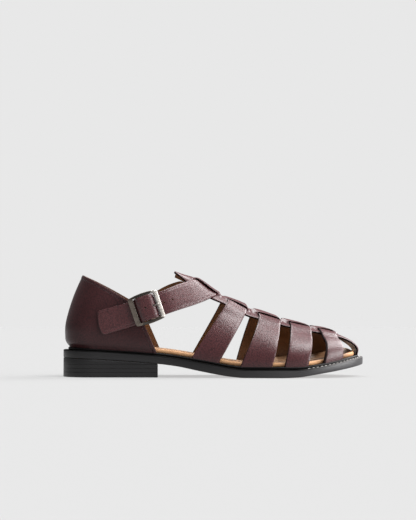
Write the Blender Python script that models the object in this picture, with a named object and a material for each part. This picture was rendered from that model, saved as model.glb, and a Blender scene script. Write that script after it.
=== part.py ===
"""Fisherman sandal for a right foot, men's EU 43.

Axes: +Z up, toe towards +X, outer (lateral) side towards -Y. The floor is z = 0 and the origin is
below the middle of the shoe. Sizes in the tables are millimetres from the back of the heel (x),
from the heel's centre line (y) and from the floor (z); place() turns them into metres.
"""
import bpy
import numpy as np

MM = 0.001

# Driving sizes, mm
SHOE_LENGTH = 298.0
HEEL_LENGTH = 92.8        # back of the heel to the middle of its breast
BREAST_SLANT = 2.5        # the breast's outer corner lies this far before its middle, the inner one behind
MIDSOLE_THICK = 2.2
INSOLE_THICK = 4.0
WALL = 2.0                # leather with its lining
GAP = 0.3                 # between pieces that meet
FEATHER_GAP = 0.5         # the upper above the curved midsole
LEDGE = 4.7               # sole edge that shows outside the midsole
FEATHER_INSET = 5.3       # sole edge to the upper's outer face, where it meets the midsole
SOLE_EDGE_ROUND = 0.9
INSOLE_INSET = 8.7        # sole edge to the insole
HEEL_INSET = 0.4
HEEL_BEVEL = 0.6
HEEL_LIFTS, LIFT_HEIGHT = 4, 3.9
LIFT_GROOVE, GROOVE_DEPTH, GROOVE_SLANT = 0.35, 0.5, 0.05    # the fine grooves between the lifts
MIDSOLE_BEVEL, INSOLE_BEVEL = (0.6, 0.7), 0.8
BAND_HALF = 12.0          # half the width of the centre band
BAND_LIFT = 1.8           # how far the band rides over each strap it holds
STRAP_THICK = 1.9

# Buckle, measured along the strap, across it and outwards
FRAME_LONG, FRAME_WIDE, FRAME_THICK = 30.4, 28.0, 2.2
REAR_BAR, FRONT_BAR, RAIL = 5.0, 4.3, 1.7
FRAME_CORNER = 2.2
PIN_RADIUS, PIN_DROP = 1.1, 1.6
PRONG_THICK = 1.5
PRONG_RISE = ((5.0, 0.5), (7.0, 0.7), (8.8, 1.4))    # along and out, up through the strap's hole
TAB_THICK, TAB_WIDE, TAB_LONG, TAB_SLOT = 1.0, 20.0, 19.0, 3.4
TAB_REAR, TAB_RISE = -5.75, (3.4, -4.0)      # the tab's level at its end, and where it turns up
BUCKLE_STATION = 3        # the ankle strap's table row at the middle of the buckle
STATION_LONG = 18.6       # length between the rows there
HUMP, HUMP_HALF, HUMP_POWER = 5.2, 10.2, 4   # the strap's rise over the buckle's pin

# Outsole outline: half widths to the outer and inner side of the centre line
OUTLINE_COLUMNS = ("x", "outer", "inner", "centre")
OUTLINE = (
    (0, 34.0, 34.0, 0.0),
    (30, 33.0, 33.0, 0.0),
    (70, 33.0, 32.0, 0.0),
    (110, 34.5, 29.0, 0.0),
    (140, 38.5, 29.5, 0.0),
    (170, 45.0, 36.5, 0.0),
    (200, 50.0, 45.5, 0.5),
    (225, 51.0, 50.5, 1.5),
    (250, 49.0, 51.0, 2.5),
    (275, 46.5, 49.0, 3.5),
    (298, 45.0, 47.0, 4.0),
)
HEEL_ROUND = 34.0         # length of the rounded back of the outline
TOE_ROUND = 66.0          # length of the rounded toe
HEEL_POWER = 2.25
TOE_POWER = 2.0

# Underside of the outsole: over the heel, down the arch, flat at the ball, toe spring
UNDERSIDE_COLUMNS = ("x", "z", "thick")
UNDERSIDE = (
    (0, 18.9, 8.0), (40, 17.1, 8.0), (70, 15.2, 8.0), (94, 13.2, 8.0), (112, 11.0, 8.0),
    (135, 6.4, 8.7), (150, 3.5, 8.9), (166, 1.0, 8.5), (180, 0.0, 8.0), (215, 0.0, 8.0),
    (230, 0.6, 7.4), (250, 3.5, 6.8), (270, 6.7, 7.3), (285, 9.5, 7.9), (298, 12.2, 7.8),
)

# The last over the foot: each row is one slanted section plane, from the sole's edge to the ridge.
# rise and crown are the handle lengths of the half section's curve, bulge pushes its lower handle out,
# band is the distance along the section from the ridge to the middle of the centre band.
LAST_COLUMNS = ("base_x", "ridge_x", "ridge_z", "ridge_y", "rise", "crown", "bulge", "band")
LAST = (
    (86, 108, 105.6, 2.0, 0.50, 1.30, 0.0, -2.0),
    (98, 121, 101.2, 2.5, 0.48, 0.66, 0.0, -2.0),
    (108, 134, 96.6, 3.0, 0.46, 0.38, 0.0, -2.0),
    (117, 148, 86.4, 3.5, 0.46, 0.35, 0.8, -2.5),
    (128, 165, 76.8, 4.5, 0.50, 0.48, 2.4, -3.0),
    (157, 183, 68.4, 6.5, 0.52, 0.38, 3.2, -6.5),
    (176, 195, 64.2, 7.5, 0.55, 0.36, 3.2, -8.5),
    (206, 217, 56.6, 8.0, 0.60, 0.36, 3.2, -9.5),
    (232, 240, 50.6, 8.0, 0.64, 0.36, 3.2, -9.0),
    (252, 256, 46.9, 7.5, 0.66, 0.38, 2.4, -7.0),
    (268, 271, 42.6, 6.5, 0.66, 0.44, 1.9, -2.5),
    (277, 281, 38.6, 6.0, 0.64, 0.50, 1.3, 1.5),
    (280, 288.2, 34.6, 5.5, 0.60, 0.54, 0.6, 3.0),
    (281, 293.6, 28.4, 5.0, 0.58, 0.55, 0.2, 3.5),
    (281, 293.0, 21.8, 5.0, 0.56, 0.55, 0.0, 3.5),
)

# Cross straps: x of the rear and front edge at the sole, half way up and at the band (outer side),
# and how much nearer the heel the inner side's edges sit at the same three places
STRAP_COLUMNS = ("rear_base", "rear_mid", "rear_top", "front_base", "front_mid", "front_top",
                 "back_base", "back_mid", "back_top")
CROSS_STRAPS = (
    (127.8, 143.9, 162.0, 154.2, 167.4, 180.9, 1.8, 3.9, 5.2),
    (174.7, 185.5, 194.2, 205.7, 211.5, 215.0, 3.5, 7.2, 6.7),
    (217.3, 222.3, 225.0, 240.8, 245.0, 245.4, 6, 10.5, 8),
    (255.7, 259.0, 254.2, 275.9, 276.6, 269.5, 7, 12, 8.5),
)
BAND_REAR = 111.5         # x of the free end of the centre band
END_LEVEL = 26.0          # its outer half starts level across and falls to the last over this length
END_DROP = 1.5            # its inner edge starts this far below the last
CELLS_ALONG = (10, 3, 2, 3, 2, 3, 2, 3, 7)    # mesh cells on the band's end, a strap, a gap ... the toe
SIDE_CELLS, BAND_CELLS = 8, 4                 # mesh cells down each side and across the band

# The closed heel part: each row is one level from the midsole (0) to the topline (1)
QUARTER_COLUMNS = ("level", "back_x", "side_outer", "side_inner", "front_outer", "front_inner")
QUARTER = (
    (0.00, 6.2, 27.8, 27.8, 28.6, 25.0),
    (0.06, 2.7, 29.4, 29.2, 29.6, 26.4),
    (0.14, 1.5, 30.2, 29.6, 30.2, 27.4),
    (0.25, 1.4, 30.6, 30.0, 30.4, 28.2),
    (0.36, 2.4, 30.4, 29.8, 30.2, 28.6),
    (0.52, 5.3, 29.2, 28.6, 29.6, 28.6),
    (0.70, 9.4, 27.4, 27.0, 28.4, 27.9),
    (1.00, 18.6, 24.5, 24.2, 27.0, 26.6),
)
TOPLINE_BACK_Z, TOPLINE_FRONT_X, TOPLINE_FRONT_Z = 100.6, 73.5, 69.6
QUARTER_FRONT_X = 93.5    # front edge at the midsole
QUARTER_ROUND = 28.0      # length of the rounded back
ROUND_SHARE = 0.42        # its share of the way from the back to the front edge
TOPLINE_CROWN = 1.3       # the topline's slight upward bow
INNER_FORWARD = 2.0       # the inner side reaches this much further forward

# The ankle strap's outer face: upper and lower edge at stations from the buckle end over the
# instep to the end sewn on the inner side
ANKLE_COLUMNS = ("upper_x", "upper_y", "upper_z", "lower_x", "lower_y", "lower_z")
ANKLE_STRAP = (
    (36.6, -31.2, 64.6, 42.0, -33.1, 41.0),
    (49.5, -31.8, 68.2, 57.0, -33.7, 45.6),
    (63.0, -32.4, 71.9, 70.5, -34.2, 49.6),
    (80.4, -32.4, 78.3, 88.2, -34.6, 55.9),
    (98.2, -30.6, 83.9, 105.6, -33.0, 62.2),
    (113.3, -22.4, 90.3, 121.5, -26.6, 67.8),
    (126.4, -11.0, 95.1, 138.2, -16.8, 74.0),
    (134.8, 2.4, 98.2, 152.6, -2.0, 81.0),
    (130.0, 15.2, 98.0, 146.0, 14.6, 78.0),
    (116.0, 24.6, 96.0, 128.5, 25.6, 73.0),
    (99.0, 29.8, 90.2, 109.0, 31.6, 66.4),
    (82.0, 31.2, 80.4, 92.0, 32.8, 58.0),
    (64.5, 31.2, 72.0, 74.5, 33.0, 49.6),
)
PRONG_HOLE = (6.3, 10.3)   # along the strap from the middle of the buckle
HUMP_STATIONS = (-1, -0.85, -0.6, -0.3, 0, 0.3, 0.5)
STRAP_ACROSS = (0, 0.22, 0.45, 0.55, 0.78, 1)    # mesh lines across the strap
PRONG_CELL = 2             # the cell between those lines that the prong goes through


def fair_curve(xs, ys):
    """Natural cubic spline through the points; returns a function of x."""
    xs, ys = np.asarray(xs, float), np.asarray(ys, float)
    step, rise = np.diff(xs), np.diff(ys)
    count = len(xs)
    system, right = np.eye(count), np.zeros(count)
    for row in range(1, count - 1):
        system[row, row - 1:row + 2] = step[row - 1], 2 * (step[row - 1] + step[row]), step[row]
        right[row] = 6 * (rise[row] / step[row] - rise[row - 1] / step[row - 1])
    bend = np.linalg.solve(system, right)

    def value(x):
        cell = np.clip(np.searchsorted(xs, x) - 1, 0, count - 2)
        before, after, width = x - xs[cell], xs[cell + 1] - x, step[cell]
        return ((bend[cell] * after ** 3 + bend[cell + 1] * before ** 3) / (6 * width)
                + (ys[cell] / width - bend[cell] * width / 6) * after
                + (ys[cell + 1] / width - bend[cell + 1] * width / 6) * before)
    return value


def steady_curve(xs, ys):
    """Monotone cubic through the points, flat where the points are level."""
    xs, ys = np.asarray(xs, float), np.asarray(ys, float)
    step = np.diff(xs)
    slope = np.diff(ys) / step
    tangent = np.concatenate(([slope[0]], np.zeros(len(xs) - 2), [slope[-1]]))
    for row in range(1, len(xs) - 1):
        if slope[row - 1] * slope[row] > 0:
            near, far = 2 * step[row] + step[row - 1], step[row] + 2 * step[row - 1]
            tangent[row] = (near + far) / (near / slope[row - 1] + far / slope[row])

    def value(x):
        cell = np.clip(np.searchsorted(xs, x) - 1, 0, len(xs) - 2)
        width = step[cell]
        part = (x - xs[cell]) / width
        return ((1 + 2 * part) * (1 - part) ** 2 * ys[cell] + part * (1 - part) ** 2 * width * tangent[cell]
                + part ** 2 * (3 - 2 * part) * ys[cell + 1]
                + part ** 2 * (part - 1) * width * tangent[cell + 1])
    return value


def named_curves(names, table, make=fair_curve):
    """One curve for each named column, all as functions of the table's first column."""
    table = np.array(table, float)
    return {name: make(table[:, 0], table[:, col]) for col, name in enumerate(names) if col > 0}


outline = named_curves(OUTLINE_COLUMNS, OUTLINE)
sole_curves = named_curves(UNDERSIDE_COLUMNS, UNDERSIDE, steady_curve)
underside, sole_thick = sole_curves["z"], sole_curves["thick"]


def sole_top(x):
    return underside(x) + sole_thick(x)


def midsole_top(x):
    return sole_top(x) + GAP + MIDSOLE_THICK


def insole_base(x):
    return midsole_top(x) + GAP


def end_round(x):
    """Closes the outline: 1 along the shoe, down to 0 at the heel's back and the toe's tip."""
    heel = np.clip((HEEL_ROUND - x) / HEEL_ROUND, 0, 1)
    toe = np.clip((x - SHOE_LENGTH + TOE_ROUND) / TOE_ROUND, 0, 1)
    return (1 - heel ** HEEL_POWER) ** (1 / HEEL_POWER) * (1 - toe ** TOE_POWER) ** (1 / TOE_POWER)


def sole_sides(x):
    """y of the outline on the outer and on the inner side."""
    centre, closing = outline["centre"](x), end_round(x)
    return centre - outline["outer"](x) * closing, centre + outline["inner"](x) * closing


def width_middle():
    """y half way between the sole's widest points."""
    outer, inner = sole_sides(np.arange(SHOE_LENGTH))
    return (outer.min() + inner.max()) / 2


def outline_stations(end, count):
    """x stations from the back of the heel to end, close together where the outline is round."""
    turn = np.linspace(0, np.pi / 2, 9)
    heel = HEEL_ROUND * (1 - np.cos(turn))
    if end < SHOE_LENGTH:
        return np.concatenate((heel, np.linspace(HEEL_ROUND, end, count)[1:]))
    toe = SHOE_LENGTH - TOE_ROUND * (1 - np.sin(np.linspace(0, np.pi / 2, 15)))
    return np.concatenate((heel, np.linspace(HEEL_ROUND, SHOE_LENGTH - TOE_ROUND, count)[1:-1], toe))


def sole_ring(inset, end=SHOE_LENGTH, count=24):
    """Outline moved inwards: outer-side points from heel to end, then inner-side points back."""
    x = outline_stations(end, count)
    outer, inner = sole_sides(x)
    closed = end == SHOE_LENGTH
    back = slice(-2, 0, -1) if closed else slice(-1, 0, -1)
    ring = np.concatenate((np.stack((x, outer), 1), np.stack((x[back], inner[back]), 1)))
    along = np.roll(ring, -1, 0) - np.roll(ring, 1, 0)
    inward = np.stack((-along[:, 1], along[:, 0]), 1) / np.linalg.norm(along, axis=1)[:, None]
    ring = ring + inset * inward
    if not closed:
        forward = np.clip((ring[:, 0] - HEEL_ROUND) / (end - HEEL_ROUND), 0, 1)
        ring[:, 0] -= BREAST_SLANT * forward * ring[:, 1] / outline["outer"](end)
    return ring, len(x)


SECTION = np.linspace(0, 1, 81)
BAND_ROW = 0.5            # the centre band's edge, where the ridge's row is 0 and the sole's is 1
STRAP_ROWS = {"base": 1.0, "mid": 0.78, "top": BAND_ROW}    # where the strap table's places lie


def feather_sides(x):
    """y of the upper's outer face at the midsole, outer and inner side."""
    ring, count = sole_ring(FEATHER_INSET, count=60)
    outer, inner = ring[:count], np.concatenate((ring[:1], ring[:count - 2:-1]))
    return (np.interp(x, outer[:, 0], outer[:, 1]), np.interp(x, inner[:, 0], inner[:, 1]))


class Last:
    """Outer face of the cross straps over the foot, as a grid of section curves."""

    def __init__(self, samples=241):
        self.u = np.linspace(0, len(LAST) - 1, samples)
        section = {}
        for name, values in zip(LAST_COLUMNS, np.array(LAST, float).T):
            make = steady_curve if name == "base_x" else fair_curve
            section[name] = make(np.arange(len(LAST)), values)(self.u)
        self.band = section["band"]
        self.halves = [self.half(side, section) for side in feather_sides(section["base_x"])]

    @staticmethod
    def half(side, section):
        """Half sections from the ridge to the sole's edge, each as points and arc lengths."""
        t = SECTION[None, :]
        a, b, c, d = (1 - t) ** 3, 3 * (1 - t) ** 2 * t, 3 * (1 - t) * t ** 2, t ** 3
        column = {name: values[:, None] for name, values in section.items()}
        base_z = midsole_top(column["base_x"]) + FEATHER_GAP
        reach = side[:, None] - column["ridge_y"]
        swell = np.sign(reach) * column["bulge"]
        across = b * column["crown"] * reach + c * (reach + swell) + d * reach
        height = a + b + c * column["rise"]
        points = np.stack((column["base_x"] + (column["ridge_x"] - column["base_x"]) * height,
                           column["ridge_y"] + across,
                           base_z + (column["ridge_z"] - base_z) * height), 2)
        steps = np.linalg.norm(np.diff(points, axis=1), axis=2)
        return points, np.concatenate((np.zeros((len(side), 1)), np.cumsum(steps, axis=1)), axis=1)

    def point(self, u, row):
        """row is -1 at the outer sole edge, 1 at the inner one; within BAND_ROW it is on the band."""
        at = np.clip(u, 0, len(LAST) - 1) / self.u[-1] * (len(self.u) - 1)
        low = min(int(at), len(self.u) - 2)
        part = at - low
        return (1 - part) * self.section_point(low, row) + part * self.section_point(low + 1, row)

    def section_point(self, line, row):
        """Band rows lie at fixed distances from the band's middle, the others share what is left."""
        distance = self.band[line] + BAND_HALF * min(max(row / BAND_ROW, -1), 1)
        points, lengths = self.halves[0 if distance < 0 else 1]
        whole = lengths[line, -1] * (1 if distance > 0 else -1)
        if abs(row) > BAND_ROW:
            distance += (whole - distance) * (abs(row) - BAND_ROW) / (1 - BAND_ROW)
        return np.array([np.interp(abs(distance), lengths[line], points[line, :, axis]) for axis in range(3)])

    def u_at(self, x, row):
        """The section number whose point on this row has the wanted x."""
        low, high = 0.0, float(len(LAST) - 1)
        for _ in range(40):
            middle = (low + high) / 2
            low, high = (middle, high) if self.point(middle, row)[0] < x else (low, middle)
        return (low + high) / 2

    def normal(self, u, row):
        """Outward direction, level with the floor along the midsole."""
        low, high = max(u - 0.02, 0), min(u + 0.02, len(LAST) - 1)
        along = self.point(high, row) - self.point(low, row)
        across = self.point(u, min(row + 0.01, 1)) - self.point(u, max(row - 0.01, -1))
        outward = np.cross(along, across)
        if abs(row) == 1 or u == len(LAST) - 1:
            outward[2] = 0
        return outward / max(np.linalg.norm(outward), 1e-9)


def place(points):
    """Table millimetres to the part's own frame in metres."""
    middle = np.array([SHOE_LENGTH / 2, width_middle(), 0])
    return (np.asarray(points, float) - middle) * MM


def new_material(name, colour, roughness, metallic=0.0):
    material = bpy.data.materials.new(name)
    material.use_nodes = True
    shader = material.node_tree.nodes["Principled BSDF"]
    shader.inputs["Base Color"].default_value = (*colour, 1)
    shader.inputs["Roughness"].default_value = roughness
    shader.inputs["Metallic"].default_value = metallic
    return material


def new_object(name, points, faces, material):
    mesh = bpy.data.meshes.new(name)
    mesh.from_pydata([tuple(p) for p in place(points)], [], faces)
    mesh.validate()
    mesh.shade_smooth()
    mesh.set_sharp_from_angle(angle=np.radians(40))
    mesh.materials.append(material)
    piece = bpy.data.objects.new(name, mesh)
    bpy.context.scene.collection.objects.link(piece)
    return piece


def plate(name, layers, material, end=SHOE_LENGTH, count=24):
    """A sole layer: stacked rings (inset, z function) with a cap of cross strips below and above."""
    points = []
    for inset, height in layers:
        ring, pairs = sole_ring(inset, end, count)
        points.append(np.column_stack((ring, height(ring[:, 0]))))
    size = len(points[0])
    faces = []
    for layer in range(len(layers) - 1):
        low, high = layer * size, (layer + 1) * size
        for i in range(size):
            j = (i + 1) % size
            faces.append((low + i, low + j, high + j, high + i))
    for first, up in ((0, False), ((len(layers) - 1) * size, True)):
        for i in range(pairs - 1):
            near, far = (size - i) % size, size - i - 1
            cap = [first + i, first + i + 1, first + far, first + near]
            cap = list(dict.fromkeys(cap))
            faces.append(tuple(cap if up else cap[::-1]))
    return new_object(name, np.concatenate(points), faces, material)


def level(z):
    """A height that is the same all over a sole layer."""
    return lambda x: np.full(len(x), z)


def heel(material):
    """The stacked heel: fine grooves mark its lifts."""
    layers = [(HEEL_INSET + HEEL_BEVEL, level(0)), (HEEL_INSET, level(HEEL_BEVEL))]
    deep = HEEL_INSET + GROOVE_DEPTH
    for number in range(1, HEEL_LIFTS):
        low, high = number * LIFT_HEIGHT, number * LIFT_HEIGHT + LIFT_GROOVE
        layers += [(HEEL_INSET, level(low)), (deep, level(low + GROOVE_SLANT)),
                   (deep, level(high - GROOVE_SLANT)), (HEEL_INSET, level(high))]
    layers.append((HEEL_INSET, lambda x: underside(x) - GAP))
    return plate("heel", layers, material, HEEL_LENGTH, count=9)


def shell(name, outside, inside, kept, material):
    """A wall from two matching grids of points; kept says which cells are leather."""
    rows, cols = kept.shape
    used, points, faces = {}, [], []

    def corner(side, i, j):
        if (side, i, j) not in used:
            used[side, i, j] = len(points)
            points.append((outside if side else inside)[i, j])
        return used[side, i, j]

    def solid(i, j):
        return 0 <= i < rows and 0 <= j < cols and kept[i, j]

    for i in range(rows):
        for j in range(cols):
            if not kept[i, j]:
                continue
            square = ((i, j), (i + 1, j), (i + 1, j + 1), (i, j + 1))
            faces.append([corner(1, *c) for c in square])
            faces.append([corner(0, *c) for c in square[::-1]])
            sides = (((i, j), (i + 1, j), (i, j - 1)), ((i + 1, j), (i + 1, j + 1), (i + 1, j)),
                     ((i + 1, j + 1), (i, j + 1), (i, j + 1)), ((i, j + 1), (i, j), (i - 1, j)))
            for start, stop, neighbour in sides:
                if not solid(*neighbour):
                    faces.append([corner(1, *stop), corner(1, *start), corner(0, *start), corner(0, *stop)])
    return new_object(name, np.array(points), faces, material)


def grid_normals(grid):
    along = np.gradient(grid, axis=0)
    across = np.gradient(grid, axis=1)
    outward = np.cross(along, across)
    return outward / np.linalg.norm(outward, axis=2)[:, :, None]


def strap_line(last, strap, edge, rows):
    """Section numbers of one strap edge on every row: a bend through base, middle and top."""
    outer, inner = [], []
    for spot, row in STRAP_ROWS.items():
        x = strap[f"{edge}_{spot}"]
        outer.append((row, last.u_at(x, -row)))
        inner.append((row, last.u_at(x - strap[f"back_{spot}"], row)))
    outer, inner = (fair_curve(*zip(*side[::-1])) for side in (outer, inner))
    line = []
    for row in rows:
        share = np.clip((row + BAND_ROW) / (2 * BAND_ROW), 0, 1)
        share = share * share * (3 - 2 * share)
        line.append((1 - share) * outer(max(-row, BAND_ROW)) + share * inner(max(row, BAND_ROW)))
    return np.array(line)


def smooth(x):
    """0 below 0, 1 above 1, and an easy rise between."""
    x = min(max(x, 0), 1)
    return x * x * (3 - 2 * x)


def front_straps(material):
    """Centre band and cross straps as one wall: columns are strap edges, rows are band edges."""
    last = Last()
    outer_rows = np.linspace(-1, -BAND_ROW, SIDE_CELLS + 1)
    band_rows = np.linspace(-BAND_ROW, BAND_ROW, BAND_CELLS + 1)
    rows = np.concatenate((outer_rows, band_rows[1:-1], -outer_rows[::-1]))
    stops = [np.full(len(rows), last.u_at(BAND_REAR, 0.0))]
    for values in CROSS_STRAPS:
        strap = dict(zip(STRAP_COLUMNS, values))
        stops += [strap_line(last, strap, edge, rows) for edge in ("rear", "front")]
    stops.append(np.full(len(rows), float(len(LAST) - 1)))
    grid_u, lift, strap_cell = [], [], []
    for number, count in enumerate(CELLS_ALONG):
        on_strap = number % 2 == 1
        for step in range(count):
            part = step / count
            grid_u.append((1 - part) * stops[number] + part * stops[number + 1])
            lift.append(BAND_LIFT if on_strap and step > 0 else 0.0)
            strap_cell.append(on_strap)
    grid_u.append(stops[-1])
    lift.append(0.0)
    outside = np.zeros((len(grid_u), len(rows), 3))
    inside = np.zeros_like(outside)
    for i, sections in enumerate(grid_u):
        for j, row in enumerate(rows):
            outward = last.normal(sections[j], row)
            on_last = last.point(sections[j], row)
            ridge = last.point(sections[len(rows) // 2], 0.0)
            level = smooth(1 - (ridge[0] - BAND_REAR) / END_LEVEL)
            if row < 0:
                on_last[2] += level * (ridge[2] - on_last[2])
            else:
                on_last[2] -= level * END_DROP * min(row / BAND_ROW, 1)
            inner_band = abs(row) < BAND_ROW - 0.01
            outside[i, j] = on_last + (lift[i] if inner_band else 0.0) * outward
            inside[i, j] = on_last - WALL * outward
    on_band = np.abs((rows[:-1] + rows[1:]) / 2) < BAND_ROW
    kept = np.array([on_band | is_strap for is_strap in strap_cell])
    return shell("straps", outside, inside, kept, material)


def quarter_point(around, level, curves):
    """Outer face of the heel part; around is -1 at the outer front edge, 0 at the back, 1 inside."""
    back_x = curves["back_x"](level)
    name, forward = ("outer", 0.0) if around < 0 else ("inner", INNER_FORWARD)
    side, front = curves["side_" + name](level), curves["front_" + name](level)
    share = abs(around)
    front_x = QUARTER_FRONT_X + (TOPLINE_FRONT_X - QUARTER_FRONT_X) * level + forward
    turn = min(share / ROUND_SHARE, 1) * np.pi / 2
    straight = max(share - ROUND_SHARE, 0) / (1 - ROUND_SHARE)
    x = back_x + QUARTER_ROUND * (1 - np.cos(turn)) + straight * (front_x - back_x - QUARTER_ROUND)
    y = side + (front - side) * straight ** 2 * (3 - 2 * straight)
    y *= (1 - np.cos(turn) ** HEEL_POWER) ** (1 / HEEL_POWER)
    low = midsole_top(x) + FEATHER_GAP
    along_top = (x - back_x) / (front_x - back_x)
    high = (TOPLINE_BACK_Z + (TOPLINE_FRONT_Z - TOPLINE_BACK_Z) * along_top
            + TOPLINE_CROWN * 4 * along_top * (1 - along_top))
    return np.array((x, np.sign(around) * y, low + (high - low) * level))


def quarter(material):
    """The closed heel part: a wall round the heel, open in front, above and below."""
    curves = named_curves(QUARTER_COLUMNS, QUARTER)
    around = np.linspace(-1, 1, 41)
    levels = np.concatenate(([0, 0.03, 0.07], np.linspace(0.14, 1, 9)))
    outside = np.array([[quarter_point(a, level, curves) for level in levels] for a in around])
    outward = -grid_normals(outside)
    outward[:, 0, 2] = 0
    outward[:, 0] /= np.linalg.norm(outward[:, 0], axis=1)[:, None]
    kept = np.ones((len(around) - 1, len(levels) - 1), bool)
    inside = outside - WALL * outward
    return shell("quarter", outside[:, ::-1], inside[:, ::-1], kept, material)


def ankle_base(station, across):
    """The ankle strap's outer face before it rises over the buckle's pin."""
    numbered = np.column_stack((np.arange(len(ANKLE_STRAP)), ANKLE_STRAP))
    curves = named_curves(("station", *ANKLE_COLUMNS), numbered)
    upper, lower = (np.stack([curves[f"{edge}_{axis}"](station) for axis in "xyz"], -1)
                    for edge in ("upper", "lower"))
    across = np.asarray(across)[..., None]
    return (1 - across) * upper + across * lower


def ankle_strap(material):
    """The ankle strap: a band between its two edge curves, with the prong's hole left open."""
    over_pin = BUCKLE_STATION + np.array(HUMP_STATIONS) * HUMP_HALF / STATION_LONG
    hole = BUCKLE_STATION + np.array(PRONG_HOLE) / STATION_LONG
    stations = np.concatenate((np.linspace(0, over_pin[0], 9)[:-1], over_pin,
                               [hole[0], hole.mean(), hole[1]],
                               np.linspace(hole[1] + 0.12, len(ANKLE_STRAP) - 1, 34)))
    across = np.array(STRAP_ACROSS)
    base = ankle_base(stations[:, None], across[None, :])
    outward = grid_normals(base)
    away = np.clip(np.abs(stations - BUCKLE_STATION) * STATION_LONG / HUMP_HALF, 0, 1)
    outside = base + (HUMP * (1 - away ** HUMP_POWER))[:, None, None] * -outward
    inside = outside + STRAP_THICK * grid_normals(outside)
    kept = np.ones((len(stations) - 1, len(across) - 1), bool)
    kept[(stations[:-1] > hole[0] - 1e-6) & (stations[:-1] < hole[1] - 1e-6), PRONG_CELL] = False
    return shell("ankle_strap", outside[:, ::-1], inside[:, ::-1], kept, material)


def buckle_frame_axes():
    """Middle of the buckle frame, and its directions along the strap, across it and outwards."""
    reach = 0.5 * FRAME_LONG / STATION_LONG
    rear, front = (ankle_base(BUCKLE_STATION + side * reach, 0.5) for side in (-1, 1))
    upper, lower = (ankle_base(float(BUCKLE_STATION), side) for side in (0.0, 1.0))
    along = (front - rear) / np.linalg.norm(front - rear)
    outward = np.cross(along, upper - lower)
    outward /= np.linalg.norm(outward)
    if outward[1] > 0:
        outward = -outward
    across = np.cross(outward, along)
    strap = ankle_base(BUCKLE_STATION + np.linspace(-reach, reach, 9), 0.5)
    height = max((strap - rear) @ outward)
    middle = (rear + front) / 2 + (height + GAP + FRAME_THICK / 2) * outward
    return middle, along, across, outward


def on_buckle(local):
    """Buckle coordinates (along, across, out) to table millimetres."""
    middle, along, across, outward = buckle_frame_axes()
    local = np.asarray(local, float)
    return middle + local[..., :1] * along + local[..., 1:2] * across + local[..., 2:3] * outward


def rounded_rectangle(x0, x1, half, radius, steps=5):
    """Corner-rounded loop, anticlockwise, the same number of points for any size."""
    loop = []
    for number, (cx, cy) in enumerate(((x1, half), (x0, half), (x0, -half), (x1, -half))):
        for turn in np.linspace(0, np.pi / 2, steps) + number * np.pi / 2:
            loop.append((cx - np.sign(cx - (x0 + x1) / 2) * radius + radius * np.cos(turn),
                         cy - np.sign(cy) * radius + radius * np.sin(turn)))
    return np.array(loop)


def closed_tube(name, rings, material, loop=False):
    """Skin over a list of rings; loop joins the last ring to the first, otherwise ends are capped."""
    rings = np.asarray(rings)
    count, size = rings.shape[:2]
    faces = []
    for i in range(count if loop else count - 1):
        for j in range(size):
            a, b = i * size, (i + 1) % count * size
            k = (j + 1) % size
            faces.append((a + j, a + k, b + k, b + j))
    if not loop:
        faces.append(tuple(range(size))[::-1])
        faces.append(tuple((count - 1) * size + j for j in range(size)))
    return new_object(name, rings.reshape(-1, 3), faces, material)


def buckle(material):
    """The frame with its pin, and the prong: a ring round the pin and a tongue over the front bar."""
    outer = rounded_rectangle(-FRAME_LONG / 2, FRAME_LONG / 2, FRAME_WIDE / 2, FRAME_CORNER)
    inner = rounded_rectangle(-FRAME_LONG / 2 + REAR_BAR, FRAME_LONG / 2 - FRONT_BAR,
                              FRAME_WIDE / 2 - RAIL, FRAME_CORNER * 0.4)
    middle, half = (outer + inner) / 2, (outer - inner) / 2
    turns = np.linspace(0, 2 * np.pi, 12, endpoint=False) + np.pi / 12
    soft = [(np.sign(np.cos(a)) * abs(np.cos(a)) ** 0.6, np.sign(np.sin(a)) * abs(np.sin(a)) ** 0.6)
            for a in turns]
    rings = [[(*(m + h * c), FRAME_THICK / 2 * s) for c, s in soft] for m, h in zip(middle, half)]
    frame = closed_tube("buckle_frame", on_buckle(rings), material, loop=True)
    circle = np.linspace(0, 2 * np.pi, 16, endpoint=False)
    reach = FRAME_WIDE / 2 - RAIL / 2
    pin = closed_tube("buckle_pin", on_buckle(
        [[(PIN_RADIUS * np.sin(a), side, -PIN_DROP + PIN_RADIUS * np.cos(a)) for a in circle]
         for side in (-reach, reach)]), material)
    join(frame, pin)
    ring = PIN_RADIUS + GAP + PRONG_THICK / 2
    path = [(ring * np.sin(a), -PIN_DROP + ring * np.cos(a)) for a in np.radians(np.linspace(-265, -15, 16))]
    rest = FRAME_THICK / 2 + GAP + PRONG_THICK / 2
    path += [(2.5, path[-1][1] - 0.1), *PRONG_RISE, (10.6, rest), (12.4, rest)]
    path = np.array(path)
    thick = np.full(len(path), PRONG_THICK / 2)
    thick[-1] *= 0.75
    along = np.gradient(path, axis=0)
    along /= np.linalg.norm(along, axis=1)[:, None]
    sides = np.linspace(0, 2 * np.pi, 10, endpoint=False)
    rings = [[(x - r * dz * np.cos(a), -r * np.sin(a), z + r * dx * np.cos(a)) for a in sides]
             for (x, z), (dx, dz), r in zip(path, along, thick)]
    closed_tube("buckle_prong", on_buckle(rings), material)


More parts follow.
